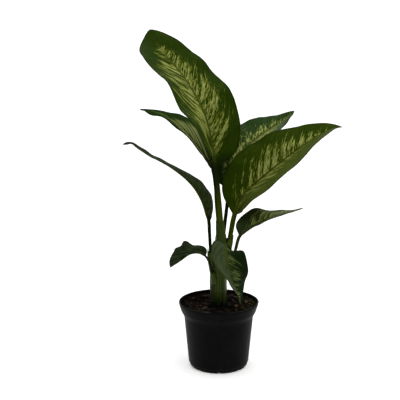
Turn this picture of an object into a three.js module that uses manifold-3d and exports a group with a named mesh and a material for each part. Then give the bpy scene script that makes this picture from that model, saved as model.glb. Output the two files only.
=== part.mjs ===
// A young potted dieffenbachia: eight leaves on one short stem, in soil, in a plastic nursery pot.
// Millimetres, +Z up. The origin is the middle of the pot's bottom, and -Y is the front.
import * as THREE from 'three';
import { mergeVertices } from 'three/addons/utils/BufferGeometryUtils.js';
import Module from 'manifold-3d';

// Pot: a 12 cm nursery pot with a flared lip. It rests on a pad in the middle and on a foot ring.
const rimRadius = 61.8;
const rimBead = 1.4;
const potHeight = 103;
const potWall = 1.3;
const lipHeight = 15;
const lipFlare = 4.4;
const bodyTopRadius = 53.4;
const bodyBottomRadius = 46.5;
const cornerHeight = 7.5;
const cornerInset = 1.4;
const creaseHeight = 3;
const creaseRadius = 44.8;
const footRadius = 42.5;
const footWidth = 3.5;
const footHeight = 1.4;
const padRadius = 12;
const floorThickness = 1.4;
const drainCount = 8;
const drainRadius = 3.6;
const drainCircle = 25;
const slotWidth = 5;
const slotLength = 14;
const potSides = 36;

// Soil: filled into the lip and heaped against it all round, with bark chips in its top.
const soilMiddleHeight = 94.6;
const soilRimRise = 3.8;
const soilMound = 1.5;
const moundRadius = 22;
const soilRings = 7;
const lumpHeight = 1.1;
const grainHeight = 0.6;
const chipCount = 26;
const chipSeed = 7;
const chipSmallest = 1.8;
const chipLargest = 4.4;
const chipSink = 0.3;
const chipInnerRadius = 15;
const chipOuterRadius = 49;

// Stem: the leaf sheaths lie rolled round each other in one column. Points are [radius, height].
const stemFoot = 56;
const stemTop = 189;
const stemProfile = [
  [8.8, stemFoot], [9.8, 62], [10.2, 92], [11.5, 104], [12.5, 119], [12.6, 134], [12.2, 152], [11.8, 170],
  [10.9, 181], [8.6, 187], [5, stemTop],
];
const stemSides = 20;
const sheathThickness = 1.2;
const mouthThickness = 0.6;
const socketReach = 14;
const sheathRows = 5;

// The gap that is left round a stalk in its sheath, round the stem in the soil, and round the soil.
const clearance = 0.3;

// Leaves: thickness at the margin, and how finely one is divided.
const marginThickness = 0.8;
const stalkRows = 7;
const stalkRoundness = 0.5;
const curveSteps = 40;

// Each leaf: `lean` is the direction in which its stalk leans off the stem, `stalk` the points of its
// stalk up to the blade, `rib` the points of its midrib, `faces` the way its upper side looks (compass
// angle, height) at the blade's base, middle and tip. `fold` and `droop` are the rise of the two halves
// at the midrib, and what is added out to the margin, in degrees at even steps along the blade. `sheath`
// is the length of stalk that the stem's sheath holds, `base` how gently each half of the blade widens at
// its base, `peak` a point that the margin is drawn up to: its half, place along the blade, height, spread.
const leafSizes = [
  {
    name: 'leaf_top', colour: 0x587a2a, lean: 125, halfWidth: 58,
    sheath: 54, stalkRadius: 4.3, endRadius: 4.1,
    stalk: [[1, 0, 176], [2.8, 0, 200], [0.2, 3, 240], [-3.6, 8, 280]],
    rib: [[-7.5, 12, 311], [-12, 14, 350], [-22, 20, 391], [-38, 28, 422], [-54, 38, 446],
      [-75, 52, 470], [-93, 70, 492], [-107, 92, 512]],
    faces: [[-50, 5], [-62, 12], [-130, 30]], shape: [0.48, 0.65],
    fold: [[24, 56], [8, 42], [-6, 34], [-20, 40], [-30, 44], [-30, 20]],
    droop: [[0, 0], [0, 0], [0, 0], [0, 0], [-15, 0], [-25, -20]],
    wave: [1.2, 3, 0], lobe: 6, base: [0.03, 0.03], rows: 16, columns: 4,
  },
  {
    name: 'leaf_back_left', colour: 0x3f6a3c, lean: 145, halfWidth: 38,
    sheath: 30, stalkRadius: 2.7, endRadius: 2.4,
    stalk: [[-3, 9, 176], [-0.5, 11, 205], [-4, 15, 255]],
    rib: [[-8, 22, 304], [-20, 38, 321], [-40, 64, 344], [-67, 98, 367], [-96, 130, 376],
      [-125, 158, 378]],
    faces: [[-65, 50], [-62, 55], [-70, 60]], shape: [0.5, 0.68],
    fold: [[35, 50], [14, 46], [-10, 27], [-12, 26]], droop: [[0, 0], [-10, -10], [-10, -10]],
    wave: [2, 3, 0.2], lobe: 4, base: [0.03, 0.07], rows: 14, columns: 4,
  },
  {
    name: 'leaf_left', colour: 0x4c6e35, lean: 182, halfWidth: 34,
    sheath: 32, stalkRadius: 2.8, endRadius: 2.5,
    stalk: [[-8.5, 0, 152], [-12.5, -1.5, 172], [-13.5, -2, 192], [-15, -3, 216]],
    rib: [[-16, -4, 232], [-24, -8, 262], [-41, -14, 291], [-71, -22, 318], [-106, -28, 339],
      [-131, -30, 356], [-143, -30, 355]],
    faces: [[30, 44], [60, 48], [60, 43.5]], shape: [0.5, 0.72],
    fold: [[40, -6], [36, 2], [32, -10], [30, -14], [30, -10]], droop: [[0, 0], [-10, -10], [-10, -10]],
    wave: [0.8, 3, 0.5], lobe: 4, base: [0.02, 0.06], rows: 14, columns: 4,
  },
  {
    name: 'leaf_back_right', colour: 0x3a6548, lean: 55, halfWidth: 40,
    sheath: 28, stalkRadius: 2.5, endRadius: 2.3,
    stalk: [[6, 8, 176], [7.5, 12, 206], [13, 26, 252]],
    rib: [[14.5, 35, 273], [18, 46, 296], [28, 56, 315], [49, 74, 336], [72, 100, 349],
      [97, 126, 359], [114, 142, 369], [123, 150, 376]],
    faces: [[-112, 30], [-108, 35], [-110, 45]], shape: [0.55, 0.8],
    fold: [[20, 20], [26, 14], [46, 8], [50, 4]], droop: [[0, 0], [-10, -10], [-10, -10]],
    wave: [2, 3, 0.7], lobe: 6, base: [0.03, 0.03], rows: 14, columns: 4,
  },
  {
    name: 'leaf_right', colour: 0x65842b, lean: 20, halfWidth: 50,
    sheath: 30, stalkRadius: 3.4, endRadius: 3.3,
    stalk: [[10, 1, 174], [14.5, 3, 190], [19, 5, 213]],
    rib: [[24, 6, 239], [37, 8, 269], [67, 14, 296], [111, 24, 330], [151, 36, 356],
      [175, 44, 366], [190, 50, 367]],
    faces: [[-114, 36], [-112, 38], [-105, 40]], shape: [0.5, 0.88],
    fold: [[40, 16], [42, 28], [44, 25], [50, 5], [58, -10]],
    droop: [[0, 0], [-10, -10], [-10, -10]],
    wave: [2, 3, 0], lobe: 5, base: [0.06, 0.07], rows: 16, columns: 4,
  },
  {
    name: 'leaf_low_right', colour: 0x466b36, lean: 5, halfWidth: 24,
    sheath: 20, stalkRadius: 2.3, endRadius: 2.2,
    stalk: [[9, -2, 148], [14.5, -3, 163], [24.5, -4, 183.5]],
    rib: [[32, -6, 209], [47, -4, 221], [68, 0, 231], [91, 6, 239.5], [112, 10, 243.5], [129, 14, 248]],
    faces: [[-106, 51], [-104, 54], [-100, 60]], shape: [0.45, 0.8],
    fold: [[68, 30], [50, 10], [48, -25], [40, -30]], droop: [[0, 0], [-10, -10], [-10, -10]],
    wave: [1.5, 2.5, 0.1], lobe: 12, base: [0.05, 0.04], peak: [1, 0.44, 5, 0.1], rows: 12, columns: 3,
  },
  {
    name: 'leaf_front', colour: 0x5b7d4a, lean: 285, halfWidth: 28,
    sheath: 18, stalkRadius: 2.1, endRadius: 2,
    stalk: [[3, -6.5, 174], [4.5, -11, 189], [7.5, -22, 201]],
    rib: [[10, -36, 203], [10, -50, 199], [12, -62, 184], [17, -64, 164], [25, -58, 139],
      [32, -50, 115]],
    faces: [[-60, 50], [-70, 10], [-60, 0]], shape: [0.5, 0.9],
    fold: [[10, -25], [18, 24], [64, 22], [74, -4], [66, -4]],
    droop: [[0, 0], [-10, -10], [-10, -10]],
    wave: [1.5, 2.5, 0.3], lobe: 8, base: [0.03, 0.1], peak: [1, 0.13, 5, 0.1], rows: 12, columns: 3,
  },
  {
    name: 'leaf_low_left', colour: 0x4c6e3c, lean: 195, halfWidth: 28.5,
    sheath: 20, stalkRadius: 1.6, endRadius: 1.5,
    stalk: [[-6, -8, 134], [-9.5, -9.5, 149], [-13.5, -10, 164]],
    rib: [[-21, -10, 178], [-31, -13, 184], [-44, -16, 183], [-59, -20, 173], [-74, -24, 164]],
    faces: [[80, 55], [85, 50], [90, 40]], shape: [0.5, 0.6],
    fold: [[45, 0], [45, 8], [45, 16], [45, 25]], droop: [[0, 0], [-10, -10], [-10, -10]],
    wave: [1.5, 2, 0.6], lobe: 0, base: [0.05, 0.08], peak: [1, 0.43, 9, 0.05], rows: 12, columns: 3,
  },
];

const wasm = await Module();
wasm.setup();

const radians = THREE.MathUtils.degToRad;

function smooth(from, to, x) {
  return THREE.MathUtils.smoothstep(x, from, to);
}

// The unit vector that points along a compass angle (from +X, anticlockwise) and a height angle.
function direction([compass, height]) {
  const flat = Math.cos(radians(height));
  return new THREE.Vector3(
    Math.cos(radians(compass)) * flat, Math.sin(radians(compass)) * flat, Math.sin(radians(height)));
}

// The value at x, from 0 to 1, of numbers that stand at even steps, eased from each to the next.
function along(values, x) {
  const place = THREE.MathUtils.clamp(x, 0, 1) * (values.length - 1);
  const step = Math.min(Math.floor(place), values.length - 2);
  const share = place - step;
  const eased = THREE.MathUtils.lerp(share, share * share * (3 - 2 * share), 0.6);
  return THREE.MathUtils.lerp(values[step], values[step + 1], eased);
}

// A closed body from rings of points, each joined to the next. Halfway round, the quads are split the other
// way, so that the two faces of a blade are split alike. `closeEnds` closes the first and last ring.
function skin(rings, closeEnds) {
  const size = rings[0].length;
  const geometry = new THREE.BufferGeometry();
  const index = [];
  for (let r = 0; r < rings.length - 1; r++) {
    for (let k = 0; k < size; k++) {
      const a = r * size + k;
      const b = r * size + (k + 1) % size;
      if (k < size / 2) {
        index.push(a, b, b + size, a, b + size, a + size);
      } else {
        index.push(a, b, a + size, b, b + size, a + size);
      }
    }
  }
  closeEnds(index, (rings.length - 1) * size);
  const places = rings.flat().flatMap((point) => point.toArray());
  geometry.setAttribute('position', new THREE.Float32BufferAttribute(places, 3));
  geometry.setIndex(index);
  return geometry;
}

function toSolid(geometry) {
  const bare = geometry.clone();
  bare.deleteAttribute('normal');
  bare.deleteAttribute('uv');
  const merged = mergeVertices(bare, 1e-4);
  return new wasm.Manifold(new wasm.Mesh({
    numProp: 3,
    vertProperties: new Float32Array(merged.attributes.position.array),
    triVerts: new Uint32Array(merged.index.array),
  }));
}

function fromSolid(solid) {
  const mesh = solid.getMesh();
  const geometry = new THREE.BufferGeometry();
  const places = new Float32Array(mesh.vertProperties);
  geometry.setAttribute('position', new THREE.BufferAttribute(places, 3));
  geometry.setIndex(new THREE.BufferAttribute(new Uint32Array(mesh.triVerts), 1));
  return geometry;
}

// A profile of [radius, height] points turned round the Z axis.
function turned(profile, sides) {
  const geometry = new THREE.LatheGeometry(profile.map(([r, z]) => new THREE.Vector2(r, z)), sides);
  return geometry.rotateX(Math.PI / 2);
}

// The leaf's curve and the frame at any length along it: `out` is its direction, `up` its upper side
// and `side` points across.
function leafCurve(leaf) {
  const points = [...leaf.stalk, ...leaf.rib].map((p) => new THREE.Vector3(...p));
  const curve = new THREE.CatmullRomCurve3(points);
  curve.arcLengthDivisions = curveSteps * (points.length - 1);
  const lengths = curve.getLengths();
  const total = lengths[lengths.length - 1];
  const stalkLength = lengths[curveSteps * leaf.stalk.length];
  const inner = direction([leaf.lean, 0]).negate();
  const faces = leaf.faces.map(direction);
  const frame = (length) => {
    const position = curve.getPointAt(Math.min(length / total, 1));
    const out = curve.getTangentAt(Math.min(length / total, 1));
    const blade = Math.max(0, (length - stalkLength) / (total - stalkLength));
    const up = inner.clone().lerp(faces[0], smooth(0.3, 1, length / stalkLength));
    up.lerp(faces[1], smooth(0, 0.5, blade)).lerp(faces[2], smooth(0.5, 1, blade));
    up.addScaledVector(out, -up.dot(out)).normalize();
    const side = out.clone().cross(up);
    return { position, out, up, side, blade };
  };
  return { frame, total, stalkLength };
}

// Half the width of the blade at a share t of its length, without the rib. Its base is rounded.
function bladeWidth(leaf, t, half) {
  const [rise, fall] = leaf.shape;
  const widest = rise / (rise + fall);
  const rounded = 1 - Math.exp(-t / leaf.base[half]);
  return leaf.halfWidth * rounded * (t / widest) ** rise * ((1 - t) / (1 - widest)) ** fall;
}

// One cross-section of a leaf as a closed ring: its upper side from one margin to the other, then back
// along its lower side. `grow` makes it larger all round, for the socket that a stalk stands in.
function leafRing(leaf, station, grow) {
  const { position, out, up, side, blade } = station;
  const ribRadius = THREE.MathUtils.lerp(leaf.stalkRadius, leaf.endRadius, station.stalkShare)
    * (0.85 * (1 - blade) ** 0.8 + 0.15) + grow;
  const ribThickness = 1.45 * ribRadius * (0.45 + 0.55 * (1 - blade) ** 1.2) + grow;
  const opened = smooth(0, 0.08, blade);
  const centre = position.clone().addScaledVector(up, 0.4 * ribThickness * (1 - opened));
  const spacing = 1 + 1.2 * smooth(0, 0.05, blade);
  const upper = [];
  const lower = [];
  for (const [sign, half] of [[1, 0], [-1, 1]]) {
    const width = ribRadius + bladeWidth(leaf, blade, half);
    const fold = radians(along(leaf.fold.map((pair) => pair[half]), blade));
    const droop = radians(along(leaf.droop.map((pair) => pair[half]), blade));
    const start = opened * fold;
    const end = (1 - opened) * stalkRoundness + opened * (fold + droop);
    const bend = Math.abs(end - start) < 1e-6 ? 1e-6 : (end - start) / width;
    for (let c = 0; c <= leaf.columns; c++) {
      const distance = width * (c / leaf.columns) ** spacing;
      const slope = start + bend * distance;
      const share = distance / leaf.halfWidth;
      const [height, count, phase] = leaf.wave;
      const [peakHalf, peakPlace, peakHeight, peakSpread] = leaf.peak ?? [half, 0, 0, 1];
      const drawn = half === peakHalf ? peakHeight * Math.exp(-(((blade - peakPlace) / peakSpread) ** 2)) : 0;
      const waved = height * smooth(0, 0.2, blade)
        * Math.sin(2 * Math.PI * (count * blade + phase + 0.37 * half));
      const ripple = share ** 2 * (waved + drawn);
      const back = blade > 0 ? leaf.lobe * share ** 2 * (1 - blade) ** 5 : 0;
      const top = centre.clone()
        .addScaledVector(side, sign * (Math.sin(slope) - Math.sin(start)) / bend)
        .addScaledVector(up, (Math.cos(start) - Math.cos(slope)) / bend + ripple + grow)
        .addScaledVector(out, -back);
      const keel = Math.sqrt(Math.max(0, 1 - (distance / ribRadius) ** 2));
      const thickness = marginThickness + 2 * grow + (ribThickness - marginThickness) * keel;
      const normal = up.clone().multiplyScalar(c > 0 ? Math.cos(slope) : 1)
        .addScaledVector(side, c > 0 ? -sign * Math.sin(slope) : 0);
      const bottom = top.clone().addScaledVector(normal, -thickness);
      if (sign > 0) {
        upper.push(top);
        lower.push(bottom);
      } else if (c > 0) {
        upper.unshift(top);
        lower.unshift(bottom);
      }
    }
  }
  return [...upper, ...lower.reverse()];
}

// The two ends of a leaf are closed by strips between its upper and lower side.
function leafEnds(ringSize) {
  return (index, last) => {
    for (let k = 0; k < ringSize / 2 - 1; k++) {
      const m = ringSize - 1 - k;
      index.push(k, m, k + 1, m, m - 1, k + 1);
      index.push(last + k, last + k + 1, last + m, last + m, last + k + 1, last + m - 1);
    }
  };
}

function leafGeometry(leaf) {
  const { frame, total, stalkLength } = leafCurve(leaf);
  const rings = [];
  for (let r = 0; r < stalkRows; r++) {
    const length = stalkLength * r / stalkRows;
    rings.push(leafRing(leaf, { ...frame(length), stalkShare: r / stalkRows }, 0));
  }
  for (let r = 0; r <= leaf.rows; r++) {
    const share = 0.5 * (1 - Math.cos(Math.PI * r / leaf.rows));
    const length = stalkLength + share * (total - stalkLength);
    rings.push(leafRing(leaf, { ...frame(length), blade: share, stalkShare: 1 }, 0));
  }
  return skin(rings, leafEnds(rings[0].length));
}

// The lowest part of a stalk, larger all round by an amount that goes from `growFoot` to `growEnd`: the
// sheath that holds the stalk, or, grown by no more than the clearance, the socket in it.
function stalkFoot(leaf, growFoot, growEnd, reach) {
  const { frame, stalkLength } = leafCurve(leaf);
  const rings = [];
  for (let r = 0; r <= sheathRows; r++) {
    const length = reach * r / sheathRows;
    const grow = THREE.MathUtils.lerp(growFoot, growEnd, r / sheathRows);
    const station = { ...frame(length), stalkShare: length / stalkLength };
    if (r === 0) {
      station.position.addScaledVector(station.out, -grow);
    }
    rings.push(leafRing({ ...leaf, columns: 3 }, station, grow));
  }
  return toSolid(skin(rings, leafEnds(rings[0].length)));
}

// The pot's inner wall, drawn in by `gap`, from its floor up to the lip. Points are [radius, height].
function potInside(gap) {
  const lipFoot = potHeight - lipHeight;
  const inset = potWall + gap;
  return [
    [creaseRadius - inset - 2.7, footHeight + floorThickness + gap],
    [bodyBottomRadius - inset - 1.6, cornerHeight - 4.2],
    [bodyBottomRadius - inset, cornerHeight],
    [bodyTopRadius - inset, lipFoot - 3.5],
    [bodyTopRadius - inset + 3, lipFoot + 0.6],
  ];
}

function potProfile() {
  const lipFoot = potHeight - lipHeight;
  return [
    [0, 0], [padRadius, 0], [padRadius + 1, footHeight],
    [footRadius - footWidth - 0.6, footHeight], [footRadius - footWidth, 0],
    [footRadius, 0], [footRadius + 1, creaseHeight - 1.2], [creaseRadius, creaseHeight],
    [bodyBottomRadius - cornerInset, creaseHeight + 3], [bodyBottomRadius, cornerHeight],
    [bodyTopRadius, lipFoot - 8], [bodyTopRadius + 1.5, lipFoot - 4.5],
    [bodyTopRadius + lipFlare, lipFoot + 0.4], [rimRadius - 1.2, potHeight - 6],
    [rimRadius, potHeight - rimBead],
    [rimRadius - 0.5, potHeight], [rimRadius - 2, potHeight],
    [rimRadius - 2.6, potHeight - rimBead - 0.2],
    [bodyTopRadius + lipFlare - 0.2, lipFoot + 3],
    ...potInside(0).reverse(),
    [0, footHeight + floorThickness],
  ];
}

function potGeometry() {
  let pot = toSolid(turned(potProfile(), potSides));
  for (let k = 0; k < drainCount; k++) {
    const angle = 2 * Math.PI * (k + 0.5) / drainCount;
    const hole = new THREE.CylinderGeometry(drainRadius, drainRadius, 4 * floorThickness, 12);
    hole.rotateX(Math.PI / 2);
    hole.translate(drainCircle * Math.cos(angle), drainCircle * Math.sin(angle), footHeight);
    pot = pot.subtract(toSolid(hole));
    const slot = new THREE.BoxGeometry(slotLength, slotWidth, 2 * footHeight);
    slot.translate(footRadius, 0, 0).rotateZ(angle);
    pot = pot.subtract(toSolid(slot));
  }
  return fromSolid(pot);
}

// The stem without its sheaths, larger all round by `grow`. The slits between the rolled sheaths run up
// it as a shallow wave of its outline.
function stemCore(grow) {
  const outline = stemProfile.map(([radius, z]) => [radius + grow, z]);
  outline[0][1] -= grow;
  outline[outline.length - 1][1] += grow;
  const geometry = turned([[0, stemFoot - grow], ...outline, [0, stemTop + grow]], stemSides);
  const places = geometry.attributes.position;
  for (let k = 0; k < places.count; k++) {
    const angle = Math.atan2(places.getY(k), places.getX(k));
    const z = places.getZ(k);
    const slits = 0.05 * smooth(92, 130, z) * Math.cos(3 * angle - 0.02 * z);
    const share = 1 + slits + 0.03 * Math.cos(2 * angle + 0.4);
    places.setXY(k, places.getX(k) * share, places.getY(k) * share);
  }
  return toSolid(geometry);
}

function stemGeometry() {
  let stem = stemCore(0);
  for (const leaf of leafSizes) {
    const [foot, mouth] = [clearance + sheathThickness, clearance + mouthThickness];
    stem = stem.add(stalkFoot(leaf, foot, mouth, leaf.sheath));
  }
  for (const leaf of leafSizes) {
    stem = stem.subtract(stalkFoot(leaf, clearance, clearance, leaf.sheath + socketReach));
  }
  return fromSolid(stem);
}

// A small repeatable stream of numbers from 0 to 1.
function randomStream(seed) {
  let state = seed;
  return () => {
    state = (state * 16807) % 2147483647;
    return state / 2147483647;
  };
}

function soilHeight(radius, angle) {
  const mound = soilMound * Math.exp(-((radius / moundRadius) ** 2));
  const lumps = lumpHeight * Math.sin(radius * 0.31 + 2 * angle) * Math.cos(3 * angle - radius * 0.17)
    + grainHeight * Math.sin(7 * angle + radius * 0.6);
  return soilMiddleHeight + mound + lumps * smooth(4, 16, radius) + soilRimRise * smooth(30, 54, radius);
}

function ringAt(radius, height) {
  return Array.from({ length: potSides }, (_, k) => {
    const angle = 2 * Math.PI * k / potSides;
    return new THREE.Vector3(radius * Math.cos(angle), radius * Math.sin(angle), height(angle));
  });
}

// The plug of soil follows the pot's inner wall, with a lumpy top.
function soilPlug() {
  const lipRadius = bodyTopRadius + lipFlare - 0.55;
  const wall = [...potInside(clearance), [lipRadius, potHeight - lipHeight + 3.5]];
  const rings = wall.map(([radius, z]) => ringAt(radius, () => z));
  const edgeRadius = lipRadius + 0.5;
  for (let r = 0; r < soilRings; r++) {
    const radius = edgeRadius * (1 - r / soilRings);
    rings.push(ringAt(radius, (angle) => soilHeight(radius, angle)));
  }
  return toSolid(skin(rings, (index, last) => {
    for (let k = 1; k < potSides - 1; k++) {
      index.push(0, k + 1, k);
      index.push(last, last + k, last + k + 1);
    }
  }));
}

// A chip of bark: a flat lozenge, tipped a little, that lies half sunk in the soil.
function barkChip(random) {
  const angle = 2 * Math.PI * random();
  const radius = THREE.MathUtils.lerp(chipInnerRadius, chipOuterRadius, Math.sqrt(random()));
  const size = THREE.MathUtils.lerp(chipSmallest, chipLargest, random());
  const chip = new THREE.OctahedronGeometry(1, 0);
  chip.scale(size * (1 + random()), size, 0.45 * size).rotateY(0.5 * (random() - 0.5));
  chip.rotateZ(2 * Math.PI * random());
  const z = soilHeight(radius, angle) - chipSink;
  return chip.translate(radius * Math.cos(angle), radius * Math.sin(angle), z);
}

function soilGeometry() {
  let soil = soilPlug();
  const random = randomStream(chipSeed);
  for (let k = 0; k < chipCount; k++) {
    soil = soil.add(toSolid(barkChip(random)));
  }
  return fromSolid(soil.subtract(stemCore(clearance)));
}

function piece(name, geometry, colour, roughness) {
  geometry.computeVertexNormals();
  const finish = new THREE.MeshStandardMaterial({ color: colour, roughness, metalness: 0 });
  const mesh = new THREE.Mesh(geometry, finish);
  mesh.name = name;
  return mesh;
}

const plant = new THREE.Group();
plant.add(piece('pot', potGeometry(), 0x141516, 0.5));
plant.add(piece('soil', soilGeometry(), 0x2a1c14, 0.95));
plant.add(piece('stem', stemGeometry(), 0x6c8f35, 0.45));
for (const leaf of leafSizes) {
  plant.add(piece(leaf.name, leafGeometry(leaf), leaf.colour, 0.4));
}

export default plant;
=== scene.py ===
import logging
from dataclasses import dataclass, field
from enum import Enum
from functools import cached_property
from math import cos, pi, radians, sin

import bpy
import numpy as np
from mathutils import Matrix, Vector


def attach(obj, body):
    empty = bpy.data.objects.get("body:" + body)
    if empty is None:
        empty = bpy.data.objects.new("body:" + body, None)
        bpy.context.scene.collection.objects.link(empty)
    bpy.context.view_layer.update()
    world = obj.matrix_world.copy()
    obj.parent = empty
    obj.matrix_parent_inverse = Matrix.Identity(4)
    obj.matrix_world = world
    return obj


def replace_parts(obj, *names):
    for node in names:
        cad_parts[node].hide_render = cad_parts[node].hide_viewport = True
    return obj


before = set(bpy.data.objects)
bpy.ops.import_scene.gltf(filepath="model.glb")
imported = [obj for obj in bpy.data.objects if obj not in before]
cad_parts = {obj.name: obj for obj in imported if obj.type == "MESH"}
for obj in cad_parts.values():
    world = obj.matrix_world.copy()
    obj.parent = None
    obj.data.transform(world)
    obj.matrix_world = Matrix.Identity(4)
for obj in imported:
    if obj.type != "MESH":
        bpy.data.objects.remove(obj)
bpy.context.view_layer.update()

# A young potted dieffenbachia: eight leaves on one sheathed stem, in soil, in a plastic nursery pot.
# The pieces are measured in millimetres, as hand-made things are, and MM turns them into Blender's
# metres. The lamp and the camera stand in metres. +Z is up and -Y is the front. CLEARANCE is kept
# between a piece and what holds it, and AXIS_GAP is the radius of the disc that closes a surface at
# its axis.
MM = 0.001
BODY = "root"
CLEARANCE = 0.3
AXIS_GAP = 0.02

Array = np.ndarray
Point = tuple[float, float, float]
Pair = tuple[float, float]
Colour = tuple[float, float, float]
Stops = tuple[tuple[float, Colour], ...]
Socket = bpy.types.NodeSocket
Material = bpy.types.Material
Mesh = bpy.types.Mesh
Piece = bpy.types.Object

log = logging.getLogger("dieffenbachia")


def smooth(low: float, high: float, x: Array) -> Array:
    """Rises smoothly from 0 at low to 1 at high.

    Args:
        low: where the rise starts.
        high: where it ends.
        x: the places asked for.

    Returns:
        3s^2 - 2s^3, where s is x's share of the way from low to high, kept within 0 and 1.
    """
    share = np.clip((x - low) / (high - low), 0.0, 1.0)
    return share * share * (3.0 - 2.0 * share)


def unit(vectors: Array) -> Array:
    """Vectors along the last axis, each divided by its length."""
    return vectors / np.linalg.norm(vectors, axis=-1, keepdims=True)


def dot(a: Array, b: Array) -> Array:
    """Dot products along the last axis, which is kept with length 1."""
    return (a * b).sum(-1, keepdims=True)


def between(ends: tuple[Array, Array] | list[Array], share: Array) -> Array:
    """What lies at a share of the way from the first to the second."""
    return ends[0] + (ends[1] - ends[0]) * share


def circle(count: int) -> Array:
    """A number of angles, evenly spaced once round, in radians."""
    return np.arange(count) / count * 2.0 * pi


def turned(radius: Array, angle: Array, z: Array) -> Array:
    """The points at a radius, an angle and a height."""
    return np.stack(np.broadcast_arrays(radius * np.cos(angle), radius * np.sin(angle), z), -1)


def direction(compass: float, height: float) -> Array:
    """The unit vector along a compass angle (from +X, anticlockwise) and a height angle, in degrees."""
    flat = cos(radians(height))
    return np.array([cos(radians(compass)) * flat, sin(radians(compass)) * flat, sin(radians(height))])


def steps(values: tuple[float, ...] | list[float], share: Array) -> Array:
    """The values, which stand at even steps from 0 to 1, read at any share and eased between them.

    Args:
        values: what stands at the steps.
        share: the places asked for.

    Returns:
        The value at each place.
    """
    place_ = np.clip(share, 0.0, 1.0) * (len(values) - 1)
    low = np.minimum(place_.astype(int), len(values) - 2)
    part = place_ - low
    eased = 0.4 * part + 0.6 * part * part * (3.0 - 2.0 * part)
    given = np.array(values, float)
    return between((given[low], given[low + 1]), eased)


def swell(x: Array, y: Array, wave: float, seed: int, count: int = 12) -> Array:
    """A smooth uneven field.

    Formula: the sum of `count` cosine waves that run in random directions, each about `wave` long,
    divided by the square root of half their number, which keeps most of it within -1 and 1.

    Args:
        x: first coordinate of each place.
        y: second coordinate.
        wave: the usual wavelength, in the unit of x and y.
        seed: settles the random draw.
        count: how many waves are summed.

    Returns:
        The field at each place.
    """
    draw = np.random.default_rng(seed)
    angle = draw.uniform(0.0, 2.0 * pi, count)
    number = 2.0 * pi / (wave * draw.uniform(0.7, 1.6, count))
    phase = draw.uniform(0.0, 2.0 * pi, count)
    total = np.zeros(np.broadcast(x, y).shape)
    for a, k, p in zip(angle, number, phase):
        total += np.cos(k * (np.cos(a) * x + np.sin(a) * y) + p)
    return total / np.sqrt(count / 2.0)


def crumbs(x: Array, y: Array, cell: float, seed: int) -> Array:
    """A bed of round crumbs, one in each cell of a square grid, pushed off its middle at random.

    Formula: for the nearest crumb, sqrt(1 - (distance / radius)^2), which is a half sphere of height 1.

    Args:
        x: first coordinate of each place.
        y: second coordinate.
        cell: the grid's step.
        seed: settles the crumbs' places and sizes.

    Returns:
        The bed's height at each place, from 0 to 1.
    """
    table = np.random.default_rng(seed).uniform(0.0, 1.0, (64, 64, 3))
    column = np.floor(x / cell).astype(int)
    row = np.floor(y / cell).astype(int)
    height = np.zeros(x.shape)
    for across in (-1, 0, 1):
        for down in (-1, 0, 1):
            chance = table[(column + across) % 64, (row + down) % 64]
            far = np.hypot(
                x - (column + across + 0.15 + 0.7 * chance[..., 0]) * cell,
                y - (row + down + 0.15 + 0.7 * chance[..., 1]) * cell,
            )
            radius = cell * (0.35 + 0.4 * chance[..., 2])
            bump = np.sqrt(np.clip(1.0 - (far / radius) ** 2, 0.0, 1.0)) * radius / (0.75 * cell)
            height = np.maximum(height, bump)
    return height


def new_mesh(name: str, points: Array, faces: list[list[int]], rounded_faces: bool) -> Mesh:
    """A mesh of points in millimetres, with faces that are shaded round or flat.

    Args:
        name: the mesh's name.
        points: its points, in millimetres.
        faces: the point numbers of each face.
        rounded_faces: whether the faces are shaded round.

    Returns:
        The mesh, in metres.
    """
    mesh = bpy.data.meshes.new(name)
    mesh.from_pydata((points.reshape(-1, 3) * MM).tolist(), [], faces)
    mesh.polygons.foreach_set("use_smooth", np.full(len(mesh.polygons), rounded_faces))
    return mesh


def keep_value(mesh: Mesh, name: str, value: Array) -> None:
    """Gives each point of a mesh a number, which its material reads by name."""
    mesh.attributes.new(name, "FLOAT", "POINT").data.foreach_set("value", value.astype("f").ravel())


class Cap(Enum):
    """How the first and the last row of a grid are closed."""

    NONE = "left open, or closed by the points themselves"
    DISC = "one face each"
    STRIPS = "faces across, from one half of the row to the other"


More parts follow.
